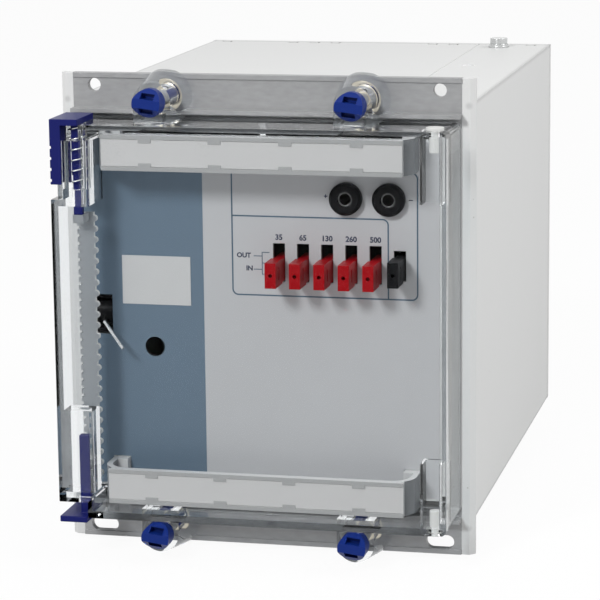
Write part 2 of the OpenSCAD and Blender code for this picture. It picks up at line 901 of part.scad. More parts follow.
module earth_washers() {
    color([0.8, 0.78, 0.7])
        for (level = [0, 1])
            translate([earth_x, earth_y, case_z + level * earth_washer_t])
                difference() {
                    cylinder(d = earth_washer_d - level * earth_washer_t, h = earth_washer_t);
                    translate([0, 0, -cut])
                        cylinder(d = earth_shank_d + 2 * seat_gap, h = earth_washer_t + 2 * cut);
                }
}

module case_screws() {
    color([0.8, 0.81, 0.8])
        translate([case_screw_x, case_screw_y, 0])
            difference() {
                union() {
                    translate([0, 0, case_z - sheet_t / 2])
                        cylinder(d = case_screw_d, h = sheet_t / 2);
                    translate([0, 0, case_z - sheet_t / 2 - case_screw_shank_len])
                        cylinder(d = case_screw_shank_d, h = case_screw_shank_len);
                }
                translate([0, 0, case_z])
                    cube([case_screw_d + cut, case_screw_slot_w, 2 * case_screw_slot_d], center = true);
            }
}

// Height of a slot: the last one is the test link's
function slot_height(i) = i < plug_link_count ? slot_z : test_slot_z;

// Openings that the front plate and its film share
module plate_openings() {
    span_box(window_x, [handle_front_y, chassis_back_y], window_z);
    translate([eye_x, 0, eye_z])
        y_rod(eye_d / 2, [handle_front_y, chassis_back_y]);
    for (i = [0 : slot_count - 1])
        translate([link_x + i * link_pitch, 0, slot_mid_z])
            cube([slot_x, 2 * handle_out, slot_height(i)], center = true);
    for (x = socket_x)
        translate([x, 0, socket_z])
            y_rod(socket_neck_d / 2 + seat_gap, [handle_front_y, chassis_back_y]);
}

module front_plate() {
    color([0.75, 0.78, 0.8])
        difference() {
            span_box([-plate_left, plate_right], [plate_front_y, plate_back_y], [-plate_z, plate_z]);
            plate_openings();
            for (sx = [-1, 1], sz = [-1, 1])
                translate([sx * (handle_reach - handle_foot_w / 2), 0, sz * handle_z])
                    y_rod(handle_screw_d / 2 + seat_gap, [plate_front_y - cut, plate_back_y + cut]);
        }
}

// The footprint of the handles' feet, widened by a gap
module foot_prints(gap, y) {
    for (sx = [-1, 1], sz = [-1, 1]) {
        foot_x = sx * (handle_reach - handle_foot_w / 2);
        translate([foot_x, (y[0] + y[1]) / 2, sz * handle_z])
            cube([handle_foot_w + 2 * gap, y[1] - y[0], handle_h + 2 * gap], center = true);
    }
}

module front_film() {
    color([0.45, 0.53, 0.6])
        difference() {
            span_box([-plate_left, plate_right - film_edge], [film_front_y, plate_front_y],
                [-plate_z + film_edge, plate_z - film_edge]);
            plate_openings();
            foot_prints(slide_gap, [film_front_y - cut, plate_front_y + cut]);
        }
}

module rating_label() {
    color([0.95, 0.95, 0.94])
        span_box(label_x, [film_front_y - label_t, film_front_y], label_z);
}

module chassis_left_plate() {
    color([0.75, 0.76, 0.75])
        span_box([-plate_left, -plate_left + chassis_t], [plate_back_y, chassis_back_y], [-chassis_z, chassis_z]);
}

module chassis_right_plate() {
    color([0.75, 0.76, 0.75])
        span_box([plate_right - chassis_t, plate_right], [plate_back_y, chassis_back_y], [-chassis_z, chassis_z]);
}

// The chassis floor with its runner, as it lies at the bottom
module chassis_tray() {
    difference() {
        span_box([-plate_left + chassis_t, plate_right - chassis_t], [plate_back_y, chassis_back_y],
            [-chassis_z, -chassis_z + chassis_t]);
        for (s = [-1, 1])
            translate([s * (handle_reach - handle_foot_w / 2), 0, -handle_z])
                y_rod(handle_screw_head_d / 2 + slide_gap,
                    [plate_back_y - cut, plate_back_y + handle_screw_head_t + slide_gap]);
    }
    span_box([-runner_t / 2, runner_t / 2], [plate_back_y, chassis_back_y], [-runner_top_z, -chassis_z]);
}

module chassis_trays() {
    color([0.72, 0.73, 0.72]) {
        chassis_tray();
        mirror([0, 0, 1])
            chassis_tray();
    }
}

module chassis_rear_plate() {
    inner_z = chassis_z - chassis_t;
    color([0.72, 0.73, 0.72])
        difference() {
            span_box([-plate_left + chassis_t, plate_right - chassis_t],
                [chassis_back_y - rear_plate_t, chassis_back_y], [-inner_z, inner_z]);
            for (s = [-1, 1], row = [0 : block_rows - 1])
                if (abs(terminal_z(row)) < inner_z - blade_h)
                    translate([s * plug_mid_x, chassis_back_y, terminal_z(row)])
                        cube([2 * blade_w, 2 * rear_plate_t + cut, blade_h + blade_w], center = true);
        }
}

module rear_plugs() {
    color([0.12, 0.12, 0.13])
        difference() {
            for (s = [-1, 1])
                translate([s * plug_mid_x, chassis_back_y + plug_d / 2, 0])
                    cube([plug_w, plug_d, plug_h], center = true);
            for (s = [-1, 1], row = [0 : block_rows - 1])
                translate([s * plug_mid_x, chassis_back_y + plug_d, terminal_z(row)])
                    cube([blade_w, 2 * blade_in, blade_h], center = true);
        }
}

module plug_blades() {
    plug_back_y = chassis_back_y + plug_d;
    color([0.8, 0.72, 0.5])
        for (s = [-1, 1], row = [0 : block_rows - 1])
            translate([s * plug_mid_x - blade_w / 2, plug_back_y - blade_in, terminal_z(row) - blade_h / 2])
                cube([blade_w, blade_in + blade_out, blade_h]);
}

// A bow seen from above, from its front to a place behind
module bow_shape(reach, front, back, r) {
    translate([-reach, front + r])
        square([2 * reach, back - front - r]);
    translate([r - reach, front])
        square([2 * (reach - r), 2 * r]);
    for (s = [-1, 1])
        translate([s * (reach - r), front + r])
            circle(r = r);
}

// The bent bar of a handle seen from above, with its flat face and two feet
module handle_outline() {
    front = handle_front_y + handle_face_t - handle_face_lap;
    wall = handle_wall;
    difference() {
        bow_shape(handle_reach, front, plate_front_y, handle_r);
        bow_shape(handle_reach - wall, front + wall, plate_front_y + cut, handle_r - wall);
    }
    translate([-strip_half_x, handle_front_y])
        square([2 * strip_half_x, handle_face_t]);
    for (s = [-1, 1])
        translate([s * (handle_reach - handle_foot_w / 2), plate_front_y - handle_foot_d / 2])
            square([handle_foot_w, handle_foot_d], center = true);
}

module handle_bar() {
    recess_y = [handle_front_y, handle_front_y + strip_recess_d];
    difference() {
        translate([0, 0, -handle_h / 2])
            linear_extrude(height = handle_h)
                handle_outline();
        span_box([-handle_reach, handle_reach], [recess_y[0] - cut, recess_y[1]],
            [-label_strip_h / 2, label_strip_h / 2]);
        for (s = [-1, 1])
            translate([s * (handle_reach - handle_foot_w / 2), 0, 0])
                y_rod(handle_screw_d / 2, [plate_front_y - handle_screw_len, plate_front_y + cut]);
    }
    for (i = [-1.5 : 1 : 1.5], s = [-1, 1]) {
        tab_z = s * (label_strip_h - strip_tab_h) / 2;
        translate([i * strip_tab_pitch, handle_front_y + strip_tab_t / 2, tab_z])
            cube([strip_tab_w, strip_tab_t, strip_tab_h], center = true);
    }
}

module upper_handle() {
    color([0.86, 0.88, 0.88])
        translate([0, 0, handle_z])
            handle_bar();
}

module lower_handle() {
    color([0.86, 0.88, 0.88])
        translate([0, 0, -handle_z])
            handle_bar();
}

module label_strips() {
    strip_y = [handle_front_y + strip_recess_d - label_strip_t, handle_front_y + strip_recess_d];
    color([0.78, 0.8, 0.81])
        for (s = [-1, 1])
            translate([0, 0, s * handle_z])
                span_box([-strip_half_x, strip_half_x], strip_y,
                    [-label_strip_h / 2 + seat_gap, label_strip_h / 2 - seat_gap]);
}

module handle_screws() {
    head_y = plate_back_y + handle_screw_head_t;
    color([0.75, 0.76, 0.77])
        for (sx = [-1, 1], sz = [-1, 1])
            translate([sx * (handle_reach - handle_foot_w / 2), 0, sz * handle_z])
                difference() {
                    union() {
                        y_rod(handle_screw_head_d / 2, [plate_back_y, head_y]);
                        y_rod(handle_screw_d / 2, [plate_front_y - handle_screw_len, plate_back_y]);
                    }
                    translate([0, head_y, 0])
                        cube([handle_screw_head_d + cut, terminal_slot_d, terminal_slot_w], center = true);
                }
}

module link_block() {
    last_x = link_x + (slot_count - 1) * link_pitch;
    block_span = [link_x - slot_x / 2 - link_block_margin, last_x + slot_x / 2 + link_block_margin];
    color([0.06, 0.06, 0.07])
        difference() {
            span_box(block_span, [plate_back_y, plate_back_y + link_block_d],
                [slot_low_z - link_block_margin, slot_high_z + link_block_margin]);
            for (i = [0 : slot_count - 1])
                translate([link_x + i * link_pitch, plate_back_y, slot_mid_z])
                    cube([slot_x, 2 * (link_block_d - slot_floor), slot_height(i)], center = true);
        }
}

// A link with its face to the front, a narrow wrist and its plug in the slot
module link_body(w) {
    front_y = plate_front_y - link_out;
    head_back_y = film_front_y - link_wrist_y;
    difference() {
        union() {
            span_box([-w / 2, w / 2], [front_y, head_back_y], [0, link_h]);
            span_box([-w / 2 + link_tongue_inset, w / 2 - link_tongue_inset],
                [head_back_y, plate_front_y + link_in],
                [link_wrist_inset, link_h - link_wrist_inset]);
        }
        for (s = [-1, 1])
            translate([s * w / 2, (front_y + head_back_y) / 2, link_h / 2])
                cube([link_wrist_inset, link_wrist_d, link_h / 2], center = true);
        translate([0, 0, link_h / 2])
            y_rod(probe_d / 2, [front_y - cut, front_y + probe_deep]);
    }
}

module plug_link(i) {
    color([0.75, 0.05, 0.08])
        translate([link_x + i * link_pitch, 0, link_low_z])
            link_body(link_w);
}

module test_link() {
    color([0.06, 0.06, 0.07])
        translate([link_x + plug_link_count * link_pitch, 0, test_slot_low_z + seat_gap])
            link_body(test_link_w);
}

module test_sockets() {
    ring_y = film_front_y - socket_out;
    back_y = plate_back_y + socket_in;
    sleeve_r = socket_bore_d / 2 + sleeve_wall;
    color([0.07, 0.07, 0.08])
        for (x = socket_x)
            translate([x, 0, socket_z])
                difference() {
                    union() {
                        y_rod(socket_d / 2, [ring_y + socket_edge, film_front_y]);
                        translate([0, ring_y + socket_edge, 0])
                            rotate([90, 0, 0])
                                cylinder(r1 = socket_d / 2, r2 = socket_d / 2 - socket_edge, h = socket_edge);
                        y_rod(socket_neck_d / 2, [film_front_y, back_y]);
                    }
                    y_rod(sleeve_r, [ring_y - cut, back_y + cut]);
                }
}

module socket_sleeves() {
    sleeve_y = [film_front_y - socket_out + sleeve_inset, plate_back_y + socket_in];
    color([0.75, 0.76, 0.77])
        for (x = socket_x)
            translate([x, 0, socket_z])
                difference() {
                    y_rod(socket_bore_d / 2 + sleeve_wall, sleeve_y);
                    y_rod(socket_bore_d / 2, [sleeve_y[0] - cut, sleeve_y[1] - 2 * sleeve_wall]);
                }
}

module flag_housing() {
    room_x = [window_x[0] + slide_gap, window_x[1] - slide_gap];
    room_z = drum_r + 2 * slide_gap;
    back_y = drum_y + drum_r + slide_gap;
    wall_x = [room_x[0] - housing_wall + seat_gap, room_x[1] + housing_wall];
    color([0.08, 0.08, 0.09])
        difference() {
            span_box([-plate_left + chassis_t, wall_x[1]], [plate_back_y, back_y + housing_wall],
                [drum_mid_z - room_z - housing_wall, drum_mid_z + room_z + housing_wall]);
            span_box(room_x, [plate_back_y - cut, back_y], [drum_mid_z - room_z, drum_mid_z + room_z]);
            translate([room_x[0] - drum_pin_len, drum_y, drum_mid_z])
                rotate([0, 90, 0])
                    cylinder(d = drum_pin_d + slide_gap / 2, h = room_x[1] - room_x[0] + 2 * drum_pin_len);
        }
}

module flag_drum() {
    drum_x = [window_x[0] + slide_gap + drum_end_gap, window_x[1] - slide_gap - drum_end_gap];
    pin_reach = drum_pin_len + drum_end_gap - slide_gap / 2;
    color([0.12, 0.12, 0.12])
        difference() {
            union() {
                translate([drum_x[0], drum_y, drum_mid_z])
                    rotate([0, 90, 0])
                        cylinder(r = drum_r, h = drum_x[1] - drum_x[0]);
                translate([drum_x[0] - pin_reach, drum_y, drum_mid_z])
                    rotate([0, 90, 0])
                        cylinder(d = drum_pin_d, h = drum_x[1] - drum_x[0] + 2 * pin_reach);
            }
            rod_between(arm_root, arm_bend, arm_d / 2);
        }
}

// A round rod between two points
module rod_between(a, b, r) {
    d = b - a;
    translate(a)
        rotate([0, acos(d[2] / norm(d)), atan2(d[1], d[0])])
            cylinder(r = r, h = norm(d));
}

module reset_arm() {
    color([0.82, 0.83, 0.84]) {
        rod_between(arm_root, arm_bend, arm_d / 2);
        translate(arm_bend)
            sphere(r = arm_bead_share * arm_d / 2);
        rod_between(arm_bend, arm_tip, arm_d / 2);
    }
}

module relay_yoke() {
    color([0.68, 0.69, 0.7]) {
        span_box([-plate_left + chassis_t, relay_x[1]], [yoke_y[1] - yoke_t, yoke_y[1]],
            [yoke_low_z, yoke_high_z - armature_lift]);
        span_box(relay_x, [yoke_y[0], yoke_y[1] - yoke_t], [yoke_low_z, yoke_low_z + yoke_t]);
    }
}

module relay_coil() {
    coil_low_z = yoke_low_z + yoke_t;
    color([0.75, 0.4, 0.2])
        translate([coil_x, coil_y, coil_low_z]) {
            cylinder(r = coil_flange_r, h = coil_flange_t);
            cylinder(r = coil_r, h = coil_h);
            translate([0, 0, coil_h - coil_flange_t])
                cylinder(r = coil_flange_r, h = coil_flange_t);
            cylinder(r = pole_r, h = coil_h + pole_rise);
        }
}

module relay_armature() {
    color([0.72, 0.73, 0.74])
        span_box(relay_x, [yoke_y[0] - yoke_t, yoke_y[1]], [yoke_high_z, yoke_high_z + armature_t]);
}

module relay_contacts() {
    color([0.15, 0.15, 0.16]) {
        span_box(relay_x, contact_block_y, contact_block_z);
        for (share = contact_blade_shares)
            translate([relay_x[0] + share * (relay_x[1] - relay_x[0]) - contact_blade_w / 2,
                contact_block_y[0] + contact_blade_inset, contact_block_z[1]])
                cube([contact_blade_w, contact_blade_t, contact_blade_rise]);
    }
}

// A shell core of stacked plates, standing on the chassis floor
module core_stack(size) {
    leg = core_leg_share * size[0];
    window_h = size[2] - 2 * leg;
    difference() {
        translate([-size[0] / 2, -size[1] / 2, 0])
            cube(size);
        for (s = [-1, 1])
            translate([s * 1.5 * leg, 0, size[2] / 2])
                cube([leg, size[1] + 2 * cut, window_h], center = true);
    }
}

// The winding round a core's middle leg
module core_winding(size) {
    leg = core_leg_share * size[0];
    outer = [4 * leg - 2 * coil_gap, size[1] + 2 * coil_swell, size[2] - 2 * leg - 2 * coil_gap];
    translate([0, 0, size[2] / 2])
        difference() {
            cube(outer, center = true);
            cube([2 * leg + 2 * coil_gap, size[1] + 2 * coil_gap, outer[2] + 2 * cut], center = true);
        }
}

// A strap over a core, with its feet on the chassis floor
module core_strap(size) {
    reach = size[0] / 2 + strap_t;
    difference() {
        translate([-reach, -strap_w / 2, 0])
            cube([2 * reach, strap_w, size[2] + strap_t]);
        translate([-size[0] / 2, -size[1], -cut])
            cube([size[0], 2 * size[1], size[2] + cut]);
    }
    for (s = [-1, 1])
        translate([s * (reach + strap_foot / 2 - strap_t / 2), 0, strap_t / 2])
            cube([strap_foot + strap_t, strap_w, strap_t], center = true);
}

big_core = [big_core_w, big_core_d, big_core_h];
small_core = [small_core_w, small_core_d, small_core_h];
floor_z = -chassis_z + chassis_t;

module at_big_core() {
    translate([big_core_x, big_core_y, floor_z])
        children();
}

module at_small_core() {
    translate([small_core_x, small_core_y, floor_z])
        children();
}

module transformer_cores() {
    color([0.4, 0.41, 0.43]) {
        at_big_core() core_stack(big_core);
        at_small_core() core_stack(small_core);
    }
}

module transformer_coils() {
    color([0.72, 0.45, 0.2]) {
        at_big_core() core_winding(big_core);
        at_small_core() core_winding(small_core);
    }
}

module transformer_straps() {
    color([0.7, 0.71, 0.72]) {
        at_big_core() core_strap(big_core);
        at_small_core() core_strap(small_core);
    }
}

resistor_board_y = plate_back_y + link_block_d;

module resistor_board() {
    color([0.1, 0.35, 0.2])
        span_box(resistor_board_x, [resistor_board_y, resistor_board_y + board_t], resistor_board_z);
}

module padding_resistors() {
    board_back_y = resistor_board_y + board_t;
    mid_z = (resistor_board_z[0] + resistor_board_z[1]) / 2;
    color([0.85, 0.83, 0.75])
        for (i = [0 : plug_link_count - 1])
            translate([link_x + i * link_pitch, board_back_y + resistor_lead_len + resistor_r, mid_z]) {
                translate([0, 0, -resistor_len / 2])
                    cylinder(r = resistor_r, h = resistor_len);
                for (s = [-1, 1])
                    translate([0, 0, s * (resistor_len / 2 - 2 * resistor_lead_r)])
                        y_rod(resistor_lead_r, [-resistor_r - resistor_lead_len, 0]);
            }
}

module rectifier_board() {
    wall_x = plate_right - chassis_t;
    color([0.1, 0.35, 0.2]) {
        span_box([rectifier_x, rectifier_x + board_t], rectifier_y, rectifier_z);
        for (y = [rectifier_y[0] + standoff_inset, rectifier_y[1] - standoff_inset],
            z = [rectifier_z[0] + standoff_inset, rectifier_z[1] - standoff_inset])
            translate([rectifier_x + board_t, y, z])
                rotate([0, 90, 0])
                    cylinder(r = standoff_r, h = wall_x - rectifier_x - board_t);
        for (z = bridge_z)
            translate([rectifier_x - bridge_size[0], bridge_y, z])
                cube(bridge_size);
        for (y = capacitor_y)
            translate([rectifier_x - capacitor_len, y, capacitor_z])
                rotate([0, 90, 0])
                    cylinder(r = capacitor_r, h = capacitor_len);
        translate([rectifier_x - relay_can[0], relay_can_y, relay_can_z])
            cube(relay_can);
    }
}

module wiring_loom() {
    board_back_y = resistor_board_y + board_t;
    color([0.25, 0.25, 0.28]) {
        rod_between([loom_x, loom_y, loom_high_z], [loom_x, chassis_back_y - rear_plate_t, loom_high_z], loom_r);
        translate([loom_x, loom_y, loom_high_z])
            sphere(r = loom_r);
        rod_between([loom_x, loom_y, loom_low_z], [loom_x, loom_y, loom_high_z], loom_r);
        translate([loom_x, loom_y, loom_low_z])
            sphere(r = loom_r);
        translate([loom_x, 0, loom_low_z])
            y_rod(loom_r, [board_back_y, loom_y]);
        for (y = clip_y)
            translate([loom_x, y, loom_high_z]) {
                y_rod(loom_r + clip_t, [0, clip_w]);
                span_box([-clip_t / 2, clip_t / 2], [0, clip_w], [0, chassis_z - chassis_t - loom_high_z]);
            }
    }
}

// The flared boss that carries a knob, on the cover's upper side
module cover_boss() {
    translate([0, boss_back_y, knob_z])
        rotate([90, 0, 0])
            cylinder(r1 = boss_back_r, r2 = boss_front_r, h = boss_len);
    span_box([-boss_web_w / 2, boss_web_w / 2], [boss_front_y, boss_back_y],
        [cover_z - cover_wall, knob_z]);
}

// Cuts in a boss: the shaft's bore, the room over the rail's ridge and the notch
module boss_cuts() {
    translate([0, 0, knob_z])
        y_rod(boss_bore_d / 2, [boss_front_y - cut, cut]);
    span_box([-2 * boss_back_r, 2 * boss_back_r], [-flange_t - ridge_d - slide_gap, cut],
        [ridge_z - slide_gap, ridge_z + ridge_t + slide_gap]);
    span_box([-boss_notch_w / 2, boss_notch_w / 2], [boss_front_y - cut, boss_front_y + boss_notch_d],
        [cover_z + seat_gap, cover_z + boss_notch_h]);
}

// The four places of the knobs, each upright or upside down
module each_knob() {
    for (s = [-1, 1])
        translate([s * knob_x, 0, 0]) {
            children();
            mirror([0, 0, 1])
                children();
        }
}

// Solid blocks in the cover's left corners, before the levers' rooms are cut
module lever_blocks() {
    span_box([-cover_x, pocket_x], [cover_front_y, notch_back_y + pocket_wall], [pocket_low_z, notch_z]);
    span_box([-cover_x, notch_x + pocket_wall], [cover_front_y, notch_back_y + pocket_wall],
        [notch_z - pocket_wall, cover_z]);
    span_box([-cover_x, pocket_x], [cover_front_y, pocket_back_y], low_pocket_z);
    span_box([-cover_x, notch_x + pocket_wall], [cover_front_y, notch_back_y + pocket_wall],
        [-cover_z, -notch_z + pocket_wall]);
}

// Rooms for the two levers, open towards the cover's corner
module lever_rooms() {
    span_box([-cover_x - cut, notch_x], [cover_front_y - cut, notch_back_y], [notch_z, cover_z + cut]);
    span_box([-cover_x - cut, recess_x], [cover_front_y - cut, recess_back_y], [recess_low_z, cover_z + cut]);
    translate([rod_x, rod_y, well_low_z])
        cylinder(r = well_r, h = cover_z - well_low_z);
    translate([rod_x, rod_y, pocket_low_z - cut])
        cylinder(d = norm([rod_tip_w, rod_d]) + slide_gap, h = well_low_z);
    span_box([-cover_x + cover_wall, pocket_x - pocket_wall], [pocket_back_y + pocket_wall, notch_back_y],
        [pocket_low_z - cut, notch_z - pocket_wall]);
    span_box([-cover_x - cut, notch_x], [cover_front_y - cut, notch_back_y], [-cover_z - cut, -notch_z]);
    span_box([rod_x - rod_w / 2 - slide_gap, rod_x + rod_w / 2 + slide_gap],
        [rod_y - rod_d / 2 - slide_gap, rod_y + rod_d / 2 + slide_gap],
        [-cover_z, low_pocket_z[1] + cut]);
}

// A thin square pocket behind the cover's front, open at one end
module empty_pocket(z) {
    x = empty_pocket_x;
    y = [cover_inner_y, cover_inner_y + empty_pocket_d];
    difference() {
        span_box([x[0], x[1]], y, z);
        span_box([x[0] + pocket_wall, x[1] - pocket_wall], [y[0] - cut, y[1] - pocket_wall],
            [z[0] - cut, z[1] + cut]);
    }
}

module cover_shell() {
    inner_w = cover_w - 2 * cover_wall;
    inner_h = cover_h - 2 * cover_wall;
    color([0.85, 0.9, 0.93, 0.35])
        difference() {
            union() {
                difference() {
                    y_slab([cover_front_y, cover_back_y])
                        round_rect(cover_w, cover_h, cover_r);
                    y_slab([cover_inner_y, cover_back_y + cut])
                        round_rect(inner_w, inner_h, cover_r - cover_wall);
                }
                lever_blocks();
                empty_pocket([empty_upper_z, cover_z - cover_wall]);
                empty_pocket([-cover_z + cover_wall, empty_lower_z]);
                each_knob() cover_boss();
            }
            each_knob() boss_cuts();
            lever_rooms();
            for (s = [-1, 1])
                translate([plug_x, plug_y, s * (cover_z - cover_wall / 2)])
                    cylinder(d = plug_stem_d + 2 * seat_gap, h = cover_wall + 2 * cut, center = true);
        }
}

module cover_gasket() {
    color([0.2, 0.2, 0.21])
        y_slab([cover_back_y, -flange_t])
            difference() {
                round_rect(cover_w, cover_h, cover_r);
                square([2 * mouth_x, 2 * mouth_z], center = true);
            }
}

module blanking_plugs() {
    color([0.93, 0.93, 0.9])
        for (s = [-1, 1])
            translate([plug_x, plug_y, 0])
                mirror([0, 0, s > 0 ? 0 : 1]) {
                    translate([0, 0, cover_z - plug_stem_len])
                        cylinder(d = plug_stem_d, h = plug_stem_len);
                    translate([0, 0, cover_z])
                        cylinder(d = plug_head_d, h = plug_head_t);
                }
}

// A knob with its grip bar upright, on its own axis
module knob_body() {
    difference() {
        union() {
            y_rod(knob_d / 2, [knob_front_y, knob_back_y]);
            y_rod(knob_shaft_d / 2, [knob_back_y, knob_shaft_back_y]);
        }
        for (s = [-1, 1]) {
            translate([s * (grip_w + knob_pocket_reach) / 2, knob_front_y, 0])
                cube([knob_pocket_reach, 2 * grip_d, knob_pocket_w], center = true);
            linear_extrude(height = 2 * knob_d, center = true)
                polygon([
                    [s * grip_w / 2, knob_front_y],
                    [s * knob_d / 2, knob_front_y + knob_slope_d],
                    [s * knob_d, knob_front_y + knob_slope_d],
                    [s * knob_d, knob_front_y - cut]
                ]);
        }
        translate([0, knob_shaft_back_y, 0])
            cube([knob_shaft_d + cut, 2 * knob_slot_d, knob_slot_w], center = true);
    }
}

// A knob in its boss, with its grip bar turned by an angle
module knob(sx, sz, turn) {
    color([0.12, 0.22, 0.6])
        translate([sx * knob_x, 0, sz * knob_z])
            rotate([0, turn, 0])
                knob_body();
}

knob_turn = 97;

module upper_reset_lever() {
    cap_y = [cover_front_y, cover_front_y + cap_d];
    cap_x = [-cover_x, -cover_x + cap_w];
    color([0.13, 0.16, 0.42])
        difference() {
            union() {
                span_box(cap_x, cap_y, [cap_low_z, cap_low_z + cap_t]);
                span_box([-cover_x, -cover_x + leg_w], [cover_front_y, cover_front_y + leg_d],
                    [leg_low_z, cap_low_z]);
                span_box([rod_x - rod_w / 2, rod_x + rod_w / 2], [rod_y - rod_d / 2, rod_y + rod_d / 2],
                    [well_low_z + reset_travel + seat_gap, cap_low_z]);
                span_box([rod_x - rod_tip_w / 2, rod_x + rod_tip_w / 2],
                    [rod_y - rod_d / 2, rod_y + rod_d / 2], [rod_tip_z, cap_low_z]);
            }
            for (i = [1 : 4])
                translate([-cover_x, cover_front_y, cap_low_z - (i + 1) * grip_ridge_pitch])
                    cube([2 * grip_ridge_d, 3 * leg_d, grip_ridge_h], center = true);
        }
}

module lower_reset_lever() {
    cap_y = [cover_front_y, cover_front_y + cap_d];
    cap_x = [-cover_x, -cover_x + cap_w];
    color([0.13, 0.16, 0.42]) {
        span_box(cap_x, cap_y, [low_cap_z - cap_t, low_cap_z]);
        span_box([rod_x - rod_w / 2, rod_x + rod_w / 2], [rod_y - rod_d / 2, rod_y + rod_d / 2],
            [low_cap_z, low_rod_high_z]);
    }
}

module reset_rack() {
    rack_y = [rack_back_y - rack_t, rack_back_y];
    tooth_count = floor((rack_high_z - rack_low_z) / tooth_pitch);
    notch_count = floor((rack_high_z - rack_low_z) / notch_pitch);
    color([0.8, 0.86, 0.9, 0.6])
        difference() {
            union() {
                span_box(rack_x, rack_y, [rack_low_z, rack_high_z]);
                span_box([rod_x - rod_w / 2, rod_x + rod_w / 2], [rod_y - rod_d / 2, rack_back_y],
                    [rack_high_z - rack_head_h, rack_high_z]);
                for (i = [0 : tooth_count - 1])
                    translate([rack_x[1], 0, rack_low_z + (i + half_share) * tooth_pitch])
                        y_rod(tooth_r, rack_y);
            }
            for (i = [0 : notch_count - 2])
                translate([rack_x[0], rack_back_y, rack_low_z + (i + half_share) * notch_pitch])
                    cube([2 * notch_deep, 3 * rack_t, notch_high], center = true);
        }
}

// A point on the spring's wire at a turn and round the wire
function spring_point(step, side) =
    let (
        turn = step / spring_steps,
        share = turn / spring_turns,
        angle = 360 * turn,
        around = 360 * side / spring_sides,
        wire_r = spring_wire_d / 2,
        reach = spring_mean_r + wire_r * cos(around),
        rise = spring_low_z + share * (spring_high_z - spring_low_z) + wire_r * sin(around)
    )
    [rod_x + reach * cos(angle), rod_y + reach * sin(angle), rise];

module lever_spring() {
    rings = spring_turns * spring_steps;
    points = [for (step = [0 : rings], side = [0 : spring_sides - 1]) spring_point(step, side)];
    walls = [for (step = [0 : rings - 1], side = [0 : spring_sides - 1])
        let (
            next = (side + 1) % spring_sides,
            low = step * spring_sides,
            high = low + spring_sides
        )
        [low + side, high + side, high + next, low + next]];
    first = [for (side = [0 : spring_sides - 1]) side];
    last = [for (side = [spring_sides - 1 : -1 : 0]) rings * spring_sides + side];
    color([0.8, 0.81, 0.82])
        polyhedron(points = points, faces = concat(walls, [first, last]), convexity = 10);
}

case_wrapper();
right_side_plate();
top_rail();
bottom_rail();
rear_frame();
knob_receptacles();
chassis_guides();
terminal_blocks();
terminal_screws();
block_screws();
earth_screw();
earth_washers();
case_screws();
front_plate();
front_film();
rating_label();
chassis_left_plate();
chassis_right_plate();
chassis_trays();
chassis_rear_plate();
rear_plugs();
plug_blades();
upper_handle();
lower_handle();
label_strips();
handle_screws();
link_block();
plug_link(0);  // plug_link_1
plug_link(1);  // plug_link_2
plug_link(2);  // plug_link_3
plug_link(3);  // plug_link_4
plug_link(4);  // plug_link_5
test_link();
test_sockets();
socket_sleeves();
flag_housing();
flag_drum();
reset_arm();
relay_yoke();
relay_coil();
relay_armature();
relay_contacts();
transformer_cores();
transformer_coils();
transformer_straps();
resistor_board();
padding_resistors();
rectifier_board();
wiring_loom();
cover_shell();
cover_gasket();
blanking_plugs();
knob(-1, 1, knob_turn);  // knob_upper_left
knob(1, 1, knob_turn);  // knob_upper_right
knob(-1, -1, knob_turn);  // knob_lower_left
knob(1, -1, knob_turn);  // knob_lower_right
upper_reset_lever();
lower_reset_lever();
reset_rack();
lever_spring();
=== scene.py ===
"""A panel-mounted protection relay in its drawn-out case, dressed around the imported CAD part."""
import json
import math
from collections import namedtuple

import bmesh
import bpy
from bpy.props import FloatProperty, FloatVectorProperty, PointerProperty
from mathutils import Matrix, Vector


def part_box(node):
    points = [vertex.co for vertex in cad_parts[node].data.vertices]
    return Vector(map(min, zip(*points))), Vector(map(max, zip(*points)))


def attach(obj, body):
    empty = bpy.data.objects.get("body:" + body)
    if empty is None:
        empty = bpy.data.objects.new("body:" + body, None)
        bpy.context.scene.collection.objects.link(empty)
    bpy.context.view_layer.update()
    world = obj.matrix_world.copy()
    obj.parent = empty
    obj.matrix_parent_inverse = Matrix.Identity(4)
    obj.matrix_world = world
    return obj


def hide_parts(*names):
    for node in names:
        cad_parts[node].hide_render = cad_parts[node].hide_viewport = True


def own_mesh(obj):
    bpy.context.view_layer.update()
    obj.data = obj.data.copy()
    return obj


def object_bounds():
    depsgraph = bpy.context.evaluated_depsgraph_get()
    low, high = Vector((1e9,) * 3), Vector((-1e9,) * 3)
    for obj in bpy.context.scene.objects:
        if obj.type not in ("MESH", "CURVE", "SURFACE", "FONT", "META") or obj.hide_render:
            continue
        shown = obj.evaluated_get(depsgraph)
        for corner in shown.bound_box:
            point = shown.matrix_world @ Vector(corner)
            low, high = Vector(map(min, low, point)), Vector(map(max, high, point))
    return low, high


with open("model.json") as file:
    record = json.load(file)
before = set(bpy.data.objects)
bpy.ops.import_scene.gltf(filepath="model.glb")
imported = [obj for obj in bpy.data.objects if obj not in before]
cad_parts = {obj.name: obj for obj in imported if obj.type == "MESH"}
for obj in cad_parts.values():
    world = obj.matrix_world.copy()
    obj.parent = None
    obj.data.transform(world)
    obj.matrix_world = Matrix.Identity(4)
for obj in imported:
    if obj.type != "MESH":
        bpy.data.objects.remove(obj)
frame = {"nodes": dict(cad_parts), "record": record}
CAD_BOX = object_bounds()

bl_info = {
    "name": "Protection relay",
    "version": (1, 0, 0),
    "blender": (4, 5, 0),
    "location": "3D View > Sidebar > Relay",
    "description": "Builds the finished pieces of a draw-out protection relay and its studio",
    "category": "Object",
}

